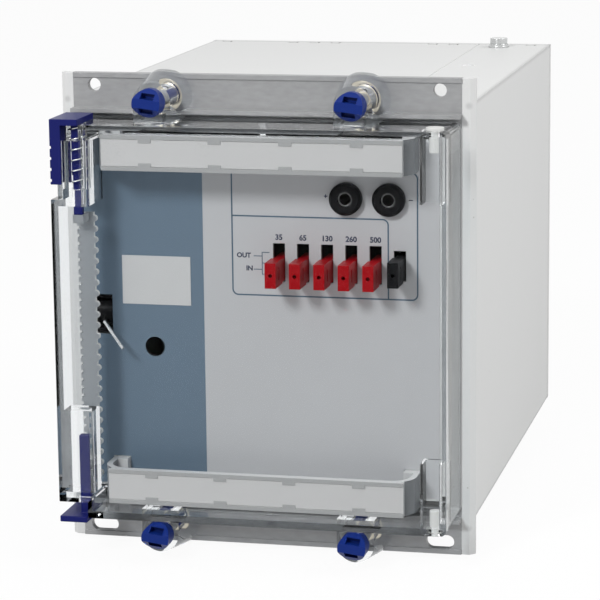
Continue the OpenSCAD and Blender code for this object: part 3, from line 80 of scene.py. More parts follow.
MM = 0.001
NODE_BODY = {node: body for body, nodes in frame["record"]["behaviour"]["bodies"].items()
             for node in nodes}
NODE_SLOT = {row["node"]: row["material_slot"] for row in frame["record"]["subparts"]}
SHARP_ANGLE = math.radians(30)
FLAT_ANGLE = math.radians(0.5)
MERGE_DISTANCE = 1e-6
UPRIGHT = Matrix.Rotation(math.radians(90), 4, "X")
WHITE = (1.0, 1.0, 1.0, 1.0)

# ---------------------------------------------------------------- sizes and colours


def length(name, description, default_mm):
    """A size that a user may change, kept in metres."""
    return FloatProperty(name=name, description=description, default=default_mm * MM,
                         min=0.0, unit="LENGTH", subtype="DISTANCE", precision=5)


def share(name, description, default):
    """A value from 0 to 1."""
    return FloatProperty(name=name, description=description, default=default,
                         min=0.0, max=1.0, subtype="FACTOR")


def colour(name, description, default):
    """A linear colour."""
    return FloatVectorProperty(name=name, description=description, default=default,
                               min=0.0, max=1.0, size=3, subtype="COLOR")


class RelaySizes(bpy.types.PropertyGroup):
    """Edge softening and printed sizes."""
    sheet_edge: length("Sheet metal edge", "Roundness of the case's folded edges", 0.25)
    rail_edge: length("Rail edge", "Roundness of the extruded rails' edges", 0.2)
    cover_edge: length("Cover edge", "Roundness of the clear cover's moulded edges", 0.45)
    handle_edge: length("Handle edge", "Roundness of the handles' edges", 0.3)
    knob_edge: length("Knob edge", "Roundness of the quarter-turn knobs' edges", 0.45)
    link_edge: length("Link edge", "Roundness of the plug links' edges", 0.35)
    lever_edge: length("Lever edge", "Roundness of the reset levers' edges", 0.35)
    small_edge: length("Small part edge", "Roundness of screws and small moulded parts", 0.15)
    print_line: length("Printed line", "Width of the lines printed on the front", 0.55)
    bracket_line: length("Bracket line", "Width of the thin lines at the link slots", 0.32)
    print_thickness: length("Ink thickness", "Height of the ink over the film", 0.03)
    number_height: length("Number height", "Height of the numbers over the slots", 1.95)
    word_height: length("Word height", "Height of the words at the slots", 1.75)
    wire: length("Spring wire", "Diameter of the return spring's wire", 0.6)


class RelayColours(bpy.types.PropertyGroup):
    """Colours of the relay's finishes."""
    case_paint: colour("Case paint", "Pale grey paint of the case", (0.800, 0.805, 0.800))
    rail: colour("Rail", "Aluminium of the two rails", (0.345, 0.348, 0.353))
    brass: colour("Brass", "Brass of the receptacles and terminals", (0.62, 0.57, 0.47))
    black_moulding: colour("Black moulding", "Black plastic parts", (0.006, 0.006, 0.007))
    bright_steel: colour("Bright steel", "Plated screws and wire", (0.62, 0.63, 0.63))
    # This dark steel also serves as painted shade on the sides of the rear frame's tab slots.
    dark_steel_and_slot_shade: colour("Dark steel", "Blackened sleeves of the test sockets", (0.11, 0.11, 0.11))
    chassis_steel: colour("Chassis steel", "Plated steel of the chassis", (0.52, 0.53, 0.53))
    film_blue: colour("Film blue", "Left panel of the printed film", (0.139, 0.198, 0.262))
    film_grey: colour("Film grey", "Right panel of the printed film", (0.555, 0.558, 0.570))
    label: colour("Label", "Paper of the rating label", (0.615, 0.615, 0.615))
    handle: colour("Handle", "Pale moulding of the two handles", (0.70, 0.70, 0.70))
    # Painted shade: the handles' bent ends are coloured dark to stand in for the shade inside them.
    handle_end_shade: colour("Handle end", "Bent ends of the handles", (0.17, 0.18, 0.19))
    # Painted shade: the tabs are the handle's own moulding, coloured darker to stand in for the
    # shade in their notches.
    handle_tab_shade: colour("Handle tab", "Tabs that hold the label strips", (0.42, 0.42, 0.42))
    label_strip: colour("Label strip", "Inserts in the handles", (0.64, 0.63, 0.625))
    link_red: colour("Link red", "Red moulding of the plug links", (0.37, 0.002, 0.006))
    core_steel: colour("Core steel", "Laminated transformer cores", (0.16, 0.16, 0.17))
    winding: colour("Winding", "Enamelled copper of the coils", (0.42, 0.18, 0.06))
    board: colour("Circuit board", "Solder resist of the boards", (0.03, 0.16, 0.07))
    ceramic: colour("Ceramic", "Bodies of the resistors", (0.66, 0.62, 0.50))
    sleeve: colour("Sleeve", "Sleeving of the wiring loom", (0.04, 0.04, 0.045))
    foam: colour("Foam", "Sealing frame behind the cover", (0.42, 0.43, 0.44))
    white_moulding: colour("White moulding", "Blanking plugs and the rack's beads",
                           (0.78, 0.78, 0.76))
    knob_blue: colour("Knob blue", "Blue of the quarter-turn knobs", (0.006, 0.026, 0.20))
    lever_navy: colour("Lever navy", "Dark blue of the reset levers", (0.010, 0.014, 0.125))
    clear: colour("Clear moulding", "Tint of the clear cover", (0.945, 0.955, 0.96))
    frosted: colour("Frosted moulding", "Tint of the frosted rack", (0.46, 0.48, 0.50))
    ink: colour("Ink", "Dark ink of the numbers", (0.035, 0.045, 0.085))
    line_ink: colour("Line ink", "Blue-grey ink of the lines", (0.085, 0.135, 0.19))


class RelayStudio(bpy.types.PropertyGroup):
    """Camera and lamps."""
    lens: FloatProperty(name="Lens", description="Focal length of the camera in millimetres",
                        default=161.71, min=20.0)
    key_power: FloatProperty(name="Key lamp",
                             description="Power of the large lamp at the upper left",
                             default=11.5, min=0.0, subtype="POWER")
    fill_power: FloatProperty(name="Fill lamp", description="Power of the lamp at the right",
                              default=4.2, min=0.0, subtype="POWER")
    top_power: FloatProperty(name="Top lamp", description="Power of the soft lamp above",
                             default=0.9, min=0.0, subtype="POWER")
    surround: share("Surround", "Strength of the even light of the studio", 0.42)
    floor_glow: share("Floor glow", "Share of plain white in the floor", 0.9)


def sizes():
    return bpy.context.scene.relay_sizes


def colours():
    return bpy.context.scene.relay_colours


def studio():
    return bpy.context.scene.relay_studio


# ---------------------------------------------------------------- shader helpers


def feed(tree, node, links):
    """Joins or fills the inputs of a shader node."""
    for socket, value in links.items():
        if isinstance(value, bpy.types.NodeSocket):
            tree.links.new(value, node.inputs[socket])
        else:
            node.inputs[socket].default_value = value
    return node


def wire(tree, kind, links=None, **settings):
    """Adds a shader node, sets its properties and feeds its inputs."""
    node = tree.nodes.new(kind)
    for key, value in settings.items():
        setattr(node, key, value)
    return feed(tree, node, links or {})


def opaque(rgb):
    return (*rgb, 1.0)


def new_group(name, inputs, outputs):
    """An empty shader node group with named sockets."""
    tree = bpy.data.node_groups.new(name, "ShaderNodeTree")
    for label, kind in inputs:
        tree.interface.new_socket(name=label, in_out="INPUT", socket_type=kind)
    for label, kind in outputs:
        tree.interface.new_socket(name=label, in_out="OUTPUT", socket_type=kind)
    return tree, tree.nodes.new("NodeGroupInput"), tree.nodes.new("NodeGroupOutput")


VECTOR, VALUE, COLOUR = "NodeSocketVector", "NodeSocketFloat", "NodeSocketColor"
FINE_DETAIL, SLOW_DETAIL, SLOW_SHARE = 3.0, 2.0, 0.035


def surface_grain_group():
    """Varies a colour and a roughness with two sizes of noise, and gives a height."""
    tree, given, out = new_group(
        "surface_grain",
        [("Vector", VECTOR), ("Grain Scale", VALUE), ("Colour", COLOUR), ("Colour Spread", VALUE),
         ("Roughness", VALUE), ("Roughness Spread", VALUE)],
        [("Colour", COLOUR), ("Roughness", VALUE), ("Height", VALUE)])
    fine = wire(tree, "ShaderNodeTexNoise",
                {"Vector": given.outputs["Vector"], "Scale": given.outputs["Grain Scale"],
                 "Detail": FINE_DETAIL})
    slow_scale = wire(tree, "ShaderNodeMath", {0: given.outputs["Grain Scale"], 1: SLOW_SHARE},
                      operation="MULTIPLY")
    slow = wire(tree, "ShaderNodeTexNoise",
                {"Vector": given.outputs["Vector"], "Scale": slow_scale.outputs[0],
                 "Detail": SLOW_DETAIL})
    both = wire(tree, "ShaderNodeMath", {0: fine.outputs["Fac"], 1: slow.outputs["Fac"]},
                operation="ADD")
    signed = wire(tree, "ShaderNodeMath", {0: both.outputs[0], 1: 1.0}, operation="SUBTRACT")
    lift = wire(tree, "ShaderNodeMath",
                {0: signed.outputs[0], 1: given.outputs["Colour Spread"], 2: 1.0},
                operation="MULTIPLY_ADD")
    tone = wire(tree, "ShaderNodeVectorMath",
                {0: given.outputs["Colour"], "Scale": lift.outputs[0]}, operation="SCALE")
    rough = wire(tree, "ShaderNodeMath",
                 {0: signed.outputs[0], 1: given.outputs["Roughness Spread"],
                  2: given.outputs["Roughness"]}, operation="MULTIPLY_ADD")
    tree.links.new(tone.outputs["Vector"], out.inputs["Colour"])
    tree.links.new(rough.outputs[0], out.inputs["Roughness"])
    tree.links.new(fine.outputs["Fac"], out.inputs["Height"])
    return tree


SPECK_REACH = 0.16


def shop_specks_group():
    """A mask of sparse small specks, as on a handled panel."""
    tree, given, out = new_group(
        "shop_specks", [("Vector", VECTOR), ("Speck Scale", VALUE), ("Share", VALUE)],
        [("Mask", VALUE)])
    cells = wire(tree, "ShaderNodeTexVoronoi",
                 {"Vector": given.outputs["Vector"], "Scale": given.outputs["Speck Scale"]},
                 feature="F1")
    near = wire(tree, "ShaderNodeMath", {0: cells.outputs["Distance"], 1: SPECK_REACH},
                operation="LESS_THAN")
    pick = wire(tree, "ShaderNodeSeparateColor", {0: cells.outputs["Color"]})
    chosen = wire(tree, "ShaderNodeMath", {0: pick.outputs[0], 1: given.outputs["Share"]},
                  operation="LESS_THAN")
    mask = wire(tree, "ShaderNodeMath", {0: near.outputs[0], 1: chosen.outputs[0]},
                operation="MULTIPLY")
    tree.links.new(mask.outputs[0], out.inputs["Mask"])
    return tree


# Reach of the painted shade along the case's folds.
FOLD_CORE, FOLD_FADE = 0.3 * MM, 1.8 * MM
SEAM_HALF_WIDTH = 0.25 * MM


def fold_shade_and_seam_group():
    """Masks along a box case: painted shade on its long folds, and the seam where the sheets end.
    """
    tree, given, out = new_group(
        "fold_shade_and_seam",
        [("Vector", VECTOR), ("Half Width", VALUE), ("Half Height", VALUE), ("Seam", VALUE)],
        [("Fold Shade", VALUE), ("Seam", VALUE)])
    axes = wire(tree, "ShaderNodeSeparateXYZ", {0: given.outputs["Vector"]})
    offsets = []
    for axis, half in (("X", "Half Width"), ("Z", "Half Height")):
        out_from_middle = wire(tree, "ShaderNodeMath", {0: axes.outputs[axis]},
                               operation="ABSOLUTE")
        offset = wire(tree, "ShaderNodeMath",
                      {0: out_from_middle.outputs[0], 1: given.outputs[half]}, operation="SUBTRACT")
        offsets.append(offset.outputs[0])
    corner = wire(tree, "ShaderNodeCombineXYZ", {0: offsets[0], 1: offsets[1]})
    away = wire(tree, "ShaderNodeVectorMath", {0: corner.outputs[0]}, operation="LENGTH")
    fold = wire(tree, "ShaderNodeMapRange", {
        "Value": away.outputs["Value"], "From Min": FOLD_CORE, "From Max": FOLD_FADE,
        "To Min": 1.0, "To Max": 0.0}, interpolation_type="SMOOTHSTEP")
    off_seam = wire(tree, "ShaderNodeMath", {0: axes.outputs["Y"], 1: given.outputs["Seam"]},
                    operation="SUBTRACT")
    near = wire(tree, "ShaderNodeMath", {0: off_seam.outputs[0]}, operation="ABSOLUTE")
    seam = wire(tree, "ShaderNodeMath", {0: near.outputs[0], 1: SEAM_HALF_WIDTH},
                operation="LESS_THAN")
    tree.links.new(fold.outputs[0], out.inputs["Fold Shade"])
    tree.links.new(seam.outputs[0], out.inputs["Seam"])
    return tree


def group_node(tree, name, maker, links):
    """A node of a shared group, which is made when it is first asked for."""
    node = tree.nodes.new("ShaderNodeGroup")
    node.node_tree = bpy.data.node_groups.get(name) or maker()
    return feed(tree, node, links)


def new_material(name):
    material = bpy.data.materials.new(name)
    material.use_nodes = True
    tree = material.node_tree
    tree.nodes.clear()
    return material, tree, tree.nodes.new("ShaderNodeOutputMaterial")


Grain = namedtuple("Grain", "roughness metallic grain_mm colour_spread roughness_spread "
                            "relief_mm stretch gloss")
EVEN = (1.0, 1.0, 1.0)
ALONG_Y = (1.0, 0.04, 1.0)

GRAINS = {
    "case_paint": Grain(0.42, 0.0, 0.9, 0.03, 0.10, 0.010, EVEN, 0.15),
    "rail": Grain(0.40, 0.2, 1.6, 0.35, 0.20, 0.010, (0.35, 1.0, 1.0), 0.5),
    "brass": Grain(0.32, 1.0, 0.6, 0.15, 0.15, 0.005, EVEN, 0.5),
    "black_moulding": Grain(0.42, 0.0, 0.4, 0.25, 0.12, 0.010, EVEN, 0.08),
    "bright_steel": Grain(0.24, 1.0, 0.5, 0.10, 0.12, 0.003, EVEN, 0.5),
    "chassis_steel": Grain(0.36, 1.0, 3.0, 0.12, 0.15, 0.004, ALONG_Y, 0.5),
    "label": Grain(0.55, 0.0, 0.5, 0.03, 0.08, 0.003, EVEN, 0.5),
    "handle": Grain(0.38, 0.0, 0.5, 0.03, 0.10, 0.006, EVEN, 0.5),
    "handle_end_shade": Grain(0.30, 0.0, 0.5, 0.03, 0.10, 0.006, EVEN, 0.5),
    "handle_tab_shade": Grain(0.35, 0.0, 0.5, 0.03, 0.10, 0.006, EVEN, 0.4),
    "dark_steel_and_slot_shade": Grain(0.35, 1.0, 0.5, 0.10, 0.12, 0.003, EVEN, 0.5),
    "label_strip": Grain(0.30, 0.0, 0.7, 0.04, 0.10, 0.004, EVEN, 0.5),
    "link_red": Grain(0.36, 0.0, 0.4, 0.10, 0.10, 0.008, EVEN, 0.12),
    "core_steel": Grain(0.50, 0.8, 0.6, 0.30, 0.15, 0.030, (0.02, 1.0, 0.02), 0.4),
    "winding": Grain(0.30, 0.5, 0.45, 0.35, 0.12, 0.060, (0.05, 0.05, 1.0), 0.5),
    "board": Grain(0.30, 0.0, 1.2, 0.20, 0.10, 0.010, EVEN, 0.5),
    "ceramic": Grain(0.60, 0.0, 0.5, 0.08, 0.10, 0.012, EVEN, 0.5),
    "sleeve": Grain(0.55, 0.0, 0.5, 0.25, 0.10, 0.020, EVEN, 0.2),
    "foam": Grain(0.85, 0.0, 0.35, 0.40, 0.08, 0.050, EVEN, 0.15),
    "white_moulding": Grain(0.35, 0.0, 0.5, 0.03, 0.10, 0.006, EVEN, 0.5),
    "knob_blue": Grain(0.34, 0.0, 0.5, 0.08, 0.10, 0.008, EVEN, 0.14),
    "lever_navy": Grain(0.34, 0.0, 0.5, 0.10, 0.10, 0.008, EVEN, 0.10),
    "ink": Grain(0.45, 0.0, 0.3, 0.10, 0.08, 0.002, EVEN, 0.3),
    "line_ink": Grain(0.45, 0.0, 0.3, 0.10, 0.08, 0.002, EVEN, 0.3),
}
SLOT_FINISH = {
    "case_paint": "case_paint", "rail_aluminium": "rail", "brass": "brass",
    "black_moulding": "black_moulding", "bright_steel": "bright_steel",
    "chassis_steel": "chassis_steel", "label_paper": "label", "handle_moulding": "handle",
    "label_strip": "label_strip", "link_red": "link_red", "core_steel": "core_steel",
    "winding": "winding", "circuit_board": "board", "resistor_ceramic": "ceramic",
    "wire_sleeve": "sleeve", "seal_foam": "foam", "white_moulding": "white_moulding",
    "knob_blue": "knob_blue", "lever_navy": "lever_navy",
}


CASE_HALF_WIDTH = 75.25 * MM
CASE_HALF_HEIGHT = 78.5 * MM
SPECK_SCALE, SPECK_SHARE, SPECK_TONE = 520.0, 0.012, (0.62, 0.62, 0.60)
# The folds' darkness is painted shade; the seam's darkness is the dark joint between the sheets.
FOLD_SHADE_DARKNESS, SEAM_DARKNESS, SEAM_AND_SHADE_TONE = 0.22, 0.75, (0.10, 0.10, 0.10)


def painted_case_tone(tree, place, tone):
    """The paint's tone with sparse specks, painted shade along the folds and the dark line where
    the sheets end.
    """
    specks = group_node(tree, "shop_specks", shop_specks_group, {
        "Vector": place, "Speck Scale": SPECK_SCALE, "Share": SPECK_SHARE})
    specked = wire(tree, "ShaderNodeMix",
                   {0: specks.outputs["Mask"], 6: tone, 7: opaque(SPECK_TONE)}, data_type="RGBA")
    fold_and_seam_masks = group_node(tree, "fold_shade_and_seam", fold_shade_and_seam_group, {
        "Vector": place, "Half Width": CASE_HALF_WIDTH, "Half Height": CASE_HALF_HEIGHT,
        "Seam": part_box("case_wrapper")[1].y})
    # Painted shade along the folds, and the dark seam line where the sheets end.
    fold_shading = wire(tree, "ShaderNodeMath", {0: fold_and_seam_masks.outputs["Fold Shade"], 1: FOLD_SHADE_DARKNESS},
                  operation="MULTIPLY")
    seam_darkening = wire(tree, "ShaderNodeMath", {0: fold_and_seam_masks.outputs["Seam"], 1: SEAM_DARKNESS},
                  operation="MULTIPLY")
    darker = wire(tree, "ShaderNodeMath", {0: fold_shading.outputs[0], 1: seam_darkening.outputs[0]},
                  operation="MAXIMUM")
    lined = wire(tree, "ShaderNodeMix",
                 {0: darker.outputs[0], 6: specked.outputs[2], 7: opaque(SEAM_AND_SHADE_TONE)},
                 data_type="RGBA")
    return lined.outputs[2]


def grained_finish(name):
    """The material of an opaque finish, made once from its colour and its grain."""
    made = bpy.data.materials.get(name + "_finish")
    if made:
        return made
    grain = GRAINS[name]
    material, tree, out = new_material(name + "_finish")
    place = wire(tree, "ShaderNodeTexCoord")
    mapped = wire(tree, "ShaderNodeMapping",
                  {"Vector": place.outputs["Object"], "Scale": grain.stretch})
    varied = group_node(tree, "surface_grain", surface_grain_group, {
        "Vector": mapped.outputs["Vector"], "Grain Scale": 1.0 / (grain.grain_mm * MM),
        "Colour": opaque(getattr(colours(), name)), "Colour Spread": grain.colour_spread,
        "Roughness": grain.roughness, "Roughness Spread": grain.roughness_spread})
    bump = wire(tree, "ShaderNodeBump", {"Height": varied.outputs["Height"], "Strength": 1.0,
                                         "Distance": grain.relief_mm * MM})
    shader = wire(tree, "ShaderNodeBsdfPrincipled", {
        "Roughness": varied.outputs["Roughness"], "Metallic": grain.metallic,
        "Specular IOR Level": grain.gloss, "Normal": bump.outputs["Normal"]})
    tone = varied.outputs["Colour"]
    if name == "case_paint":
        tone = painted_case_tone(tree, place.outputs["Object"], tone)
    tree.links.new(tone, shader.inputs["Base Color"])
    tree.links.new(shader.outputs["BSDF"], out.inputs["Surface"])
    return material


FILM_SPLIT_X = -22.7 * MM
FILM_GRAIN, FILM_RELIEF = 0.4 * MM, 0.002 * MM
FILM_GRAIN_VALUES = {"Colour Spread": 0.02, "Roughness": 0.38, "Roughness Spread": 0.10}
FILM_GLOSS = 0.35


def printed_film_finish():
    """The film's two printed panels, blue-grey at the left and light grey at the right."""
    made = bpy.data.materials.get("printed_film_finish")
    if made:
        return made
    material, tree, out = new_material("printed_film_finish")
    place = wire(tree, "ShaderNodeTexCoord")
    axes = wire(tree, "ShaderNodeSeparateXYZ", {0: place.outputs["Object"]})
    right = wire(tree, "ShaderNodeMath", {0: axes.outputs["X"], 1: FILM_SPLIT_X},
                 operation="GREATER_THAN")
    panels = wire(tree, "ShaderNodeMix", {0: right.outputs[0], 6: opaque(colours().film_blue),
                                          7: opaque(colours().film_grey)}, data_type="RGBA")
    varied = group_node(tree, "surface_grain", surface_grain_group, {
        "Vector": place.outputs["Object"], "Grain Scale": 1.0 / FILM_GRAIN,
        "Colour": panels.outputs[2], **FILM_GRAIN_VALUES})
    bump = wire(tree, "ShaderNodeBump",
                {"Height": varied.outputs["Height"], "Distance": FILM_RELIEF})
    shader = wire(tree, "ShaderNodeBsdfPrincipled", {
        "Base Color": varied.outputs["Colour"], "Roughness": varied.outputs["Roughness"],
        "Specular IOR Level": FILM_GLOSS, "Normal": bump.outputs["Normal"]})
    tree.links.new(shader.outputs["BSDF"], out.inputs["Surface"])
    return material


CLEAR_GLOSS = 0.35
CLEAR_GRAIN, CLEAR_RELIEF, CLEAR_RELIEF_STRENGTH = 8.0 * MM, 0.02 * MM, 0.3
CLEAR_COLOUR_SPREAD, CLEAR_ROUGHNESS_SHARE = 0.015, 0.5
ACRYLIC_IOR = 1.49
POLISHED = 0.02


def clear_finish(name, roughness, tint, ior=ACRYLIC_IOR, passing=1.0):
    """A clear moulding that lets lamp light through plainly."""
    made = bpy.data.materials.get(name + "_finish")
    if made:
        return made
    material, tree, out = new_material(name + "_finish")
    place = wire(tree, "ShaderNodeTexCoord")
    varied = group_node(tree, "surface_grain", surface_grain_group, {
        "Vector": place.outputs["Object"], "Grain Scale": 1.0 / CLEAR_GRAIN,
        "Colour": opaque(tint), "Colour Spread": CLEAR_COLOUR_SPREAD,
        "Roughness": roughness, "Roughness Spread": roughness * CLEAR_ROUGHNESS_SHARE})
    bump = wire(tree, "ShaderNodeBump", {
        "Height": varied.outputs["Height"], "Strength": CLEAR_RELIEF_STRENGTH,
        "Distance": CLEAR_RELIEF})
    shader = wire(tree, "ShaderNodeBsdfPrincipled", {
        "Base Color": varied.outputs["Colour"], "Roughness": varied.outputs["Roughness"],
        "IOR": ior, "Specular IOR Level": CLEAR_GLOSS, "Transmission Weight": passing,
        "Normal": bump.outputs["Normal"]})
    clear = wire(tree, "ShaderNodeBsdfTransparent", {"Color": opaque(tint)})
    ray = wire(tree, "ShaderNodeLightPath")
    through = wire(tree, "ShaderNodeMath",
                   {0: ray.outputs["Is Shadow Ray"], 1: ray.outputs["Is Diffuse Ray"]},
                   operation="MAXIMUM")
    mix = wire(tree, "ShaderNodeMixShader", {
        0: through.outputs[0], 1: shader.outputs["BSDF"], 2: clear.outputs["BSDF"]})
    tree.links.new(mix.outputs["Shader"], out.inputs["Surface"])
    return material


def finish_of(node):
    slot = NODE_SLOT[node]
    if slot == "printed_film":
        return printed_film_finish()
    if slot == "clear_moulding":
        return clear_finish("clear_moulding", POLISHED, colours().clear)
    return grained_finish(SLOT_FINISH[slot])


# ---------------------------------------------------------------- mesh helpers


def show(piece, node_names=(), body=None, finish=None):
    """Gives a finished piece its material and the body it rides on, and hides the CAD nodes it
    stands for.
    """
    first = node_names[0] if node_names else None
    piece.data.materials.clear()
    piece.data.materials.append(finish or finish_of(first))
    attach(piece, body or NODE_BODY[first])
    if node_names:
        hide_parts(*node_names)
    return piece


def new_piece(name, work):
    """An object at the origin from a bmesh."""
    mesh = bpy.data.meshes.new(name)
    work.to_mesh(mesh)
    work.free()
    piece = bpy.data.objects.new(name, mesh)
    bpy.context.scene.collection.objects.link(piece)
    return piece


def smooth_but_sharp(work, angle=SHARP_ANGLE):
    """Smooth faces with the edges past an angle kept sharp."""
    for face in work.faces:
        face.smooth = True
    for edge in work.edges:
        edge.smooth = len(edge.link_faces) == 2 and edge.calc_face_angle(math.pi) < angle


def softened(node, edge, segments=2, finish=None):
    """A copy of a CAD node with its loose triangles joined and its edges rounded."""
    work = bmesh.new()
    work.from_mesh(frame["nodes"][node].data)
    bmesh.ops.remove_doubles(work, verts=work.verts, dist=MERGE_DISTANCE)
    bmesh.ops.dissolve_limit(work, angle_limit=FLAT_ANGLE, use_dissolve_boundaries=False,
                             verts=work.verts, edges=work.edges)
    smooth_but_sharp(work)
    piece = new_piece(node + "_finished", work)
    if "custom_normal" in piece.data.attributes:
        piece.data.attributes.remove(piece.data.attributes["custom_normal"])
    if edge > 0:
        rounding = piece.modifiers.new("rounded_edges", "BEVEL")
        rounding.width = edge
        rounding.segments = segments
        rounding.limit_method = "ANGLE"
        rounding.angle_limit = SHARP_ANGLE
        rounding.use_clamp_overlap = True
        rounding.harden_normals = True
    return show(piece, (node,), finish=finish)


def refinish(piece, finish, chosen):
    """Gives a second material to the faces that a test chooses."""
    piece.data.materials.append(finish)
    for face in piece.data.polygons:
        if chosen(face):
            face.material_index = 1


def keep_node(name):
    """A CAD node whose shape is right gets its procedural finish."""
    for slot in frame["nodes"][name].material_slots:
        slot.material = finish_of(name)


def close_and_face_out(work):
    bmesh.ops.remove_doubles(work, verts=work.verts, dist=MERGE_DISTANCE)
    bmesh.ops.recalc_face_normals(work, faces=work.faces)


# ---------------------------------------------------------------- printed marks

FILM_FRONT_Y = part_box("front_film")[0].y
Run = namedtuple("Run", "distance")
Turn = namedtuple("Turn", "radius angle")
TURN_STEPS = 8


def trace(work, start, heading, width, moves):
    """Draws one line on the film by extruding and spinning a short edge. Angles turn clockwise."""
    head = Vector((math.cos(heading), 0.0, math.sin(heading)))
    at = Vector((start[0] * MM, FILM_FRONT_Y, start[1] * MM))
    across = Vector((-head.z, 0.0, head.x)) * width / 2
    ends = [work.verts.new(at + across), work.verts.new(at - across)]
    edge = work.edges.new(ends)
    for move in moves:
        across = Vector((-head.z, 0.0, head.x))
        if isinstance(move, Run):
            grown = bmesh.ops.extrude_edge_only(work, edges=[edge])["geom"]
            moved = [item for item in grown if isinstance(item, bmesh.types.BMVert)]
            step = head * move.distance * MM
            bmesh.ops.translate(work, verts=moved, vec=step)
            at = at + step
        else:
            side = -1 if move.angle > 0 else 1
            centre = at + across * side * move.radius * MM
            grown = bmesh.ops.spin(
                work, geom=[edge, *edge.verts], cent=centre, axis=(0.0, 1.0, 0.0),
                angle=math.radians(move.angle), steps=TURN_STEPS, use_merge=False,
                use_normal_flip=False, use_duplicate=False)["geom_last"]
            turn = Matrix.Rotation(math.radians(move.angle), 4, "Y")
            at = centre + turn @ (at - centre)
            head = turn @ head
        edge = next(item for item in grown if isinstance(item, bmesh.types.BMEdge))


def raise_ink(work, thickness):
    """Gives flat print its thickness in front of the film."""
    bmesh.ops.remove_doubles(work, verts=work.verts, dist=MERGE_DISTANCE)
    bmesh.ops.dissolve_degenerate(work, edges=work.edges, dist=MERGE_DISTANCE)
    grown = bmesh.ops.extrude_face_region(work, geom=work.faces[:])["geom"]
    front = [item for item in grown if isinstance(item, bmesh.types.BMVert)]
    bmesh.ops.translate(work, verts=front, vec=(0.0, -thickness, 0.0))
    bmesh.ops.recalc_face_normals(work, faces=work.faces)


def printed_lines(name, width, lines, finish):
    work = bmesh.new()
    for start, heading, moves in lines:
        trace(work, start, math.radians(heading), width, moves)
    raise_ink(work, sizes().print_thickness)
    return show(new_piece(name, work), body="chassis",
                finish=grained_finish(finish))


TEXT_SIZE, TEXT_SWELL, TEXT_STEPS = 1.43, 0.05, 3


def printed_text(name, marks, height):
    """Text marks set on the film, each centred on its point and made one mesh."""
    work = bmesh.new()
    for text, x, z in marks:
        curve = bpy.data.curves.new(name + "_curve", "FONT")
        curve.body = text
        curve.size = height * TEXT_SIZE
        curve.align_x = "CENTER"
        curve.align_y = "CENTER"
        curve.offset = height * TEXT_SWELL
        curve.resolution_u = TEXT_STEPS
        words = bpy.data.objects.new(name + "_curve", curve)
        bpy.context.scene.collection.objects.link(words)
        bpy.context.view_layer.update()
        evaluated = words.evaluated_get(bpy.context.evaluated_depsgraph_get())
        flat = bpy.data.meshes.new_from_object(evaluated)
        flat.transform(Matrix.Translation((x * MM, FILM_FRONT_Y, z * MM)) @ UPRIGHT)
        work.from_mesh(flat)
        bpy.data.objects.remove(words)
        bpy.data.curves.remove(curve)
        bpy.data.meshes.remove(flat)
    raise_ink(work, sizes().print_thickness)
    return show(new_piece(name, work), body="chassis",
                finish=grained_finish("ink"))


# ---------------------------------------------------------------- operators


class RelayOperator:
    bl_options = {"REGISTER", "UNDO"}


TAB_TOP_Z = 77.6 * MM
REAR_FRAME_Y = 209.0 * MM
SLOT_SIDE_NORMAL = 0.5


def tab_slot_side_in_shade(face):
    """Whether a face of the rear frame is a side of a tab's slot, which is coloured dark as painted
    shade.
    """
    in_slot = abs(face.center.z) > TAB_TOP_Z and face.center.y < REAR_FRAME_Y
    return in_slot and abs(face.normal.z) < SLOT_SIDE_NORMAL


class OBJECT_OT_relay_case(RelayOperator, bpy.types.Operator):
    """Finishes the folded case, its rails, guides, receptacles and screws"""
    bl_idname = "relay.build_case"
    bl_label = "Case"

    def execute(self, context):
        for node in ("case_wrapper", "right_side_plate"):
            softened(node, sizes().sheet_edge)
        rear = softened("rear_frame", sizes().sheet_edge)
        # Painted shade: the sides of the tabs' slots take the dark steel finish to stand in for the
        # shade in the slots.
        refinish(rear, grained_finish("dark_steel_and_slot_shade"), tab_slot_side_in_shade)
        for node in ("top_rail", "bottom_rail"):
            softened(node, sizes().rail_edge)
        for node in ("earth_screw", "earth_washers", "case_screws", "knob_receptacles"):
            softened(node, sizes().small_edge)
        keep_node("chassis_guides")
        return {"FINISHED"}


class OBJECT_OT_relay_terminals(RelayOperator, bpy.types.Operator):
    """Finishes the rear terminal blocks with their screws and the chassis plugs"""
    bl_idname = "relay.build_terminals"
    bl_label = "Rear terminals"

    def execute(self, context):
        for node in ("terminal_blocks", "terminal_screws", "block_screws", "rear_plugs"):
            softened(node, sizes().small_edge)
        keep_node("plug_blades")
        return {"FINISHED"}


class OBJECT_OT_relay_chassis(RelayOperator, bpy.types.Operator):
    """Finishes the withdrawable chassis with the parts it carries inside"""
    bl_idname = "relay.build_chassis"
    bl_label = "Chassis"

    def execute(self, context):
        for node in ("front_plate", "chassis_left_plate", "chassis_right_plate", "chassis_trays",
                     "chassis_rear_plate", "relay_yoke", "relay_coil", "relay_armature",
                     "relay_contacts", "transformer_cores", "transformer_coils",
                     "transformer_straps", "resistor_board", "padding_resistors",
                     "rectifier_board", "wiring_loom"):
            softened(node, sizes().small_edge)
        return {"FINISHED"}


class OBJECT_OT_relay_front(RelayOperator, bpy.types.Operator):
    """Finishes the printed film, the bare label, the flag's window and its reset arm"""
    bl_idname = "relay.build_front"
    bl_label = "Front film"

    def execute(self, context):
        softened("front_film", 0.0)
        softened("rating_label", 0.0)
        for node in ("flag_housing", "flag_drum"):
            softened(node, sizes().small_edge)
        keep_node("reset_arm")
        return {"FINISHED"}


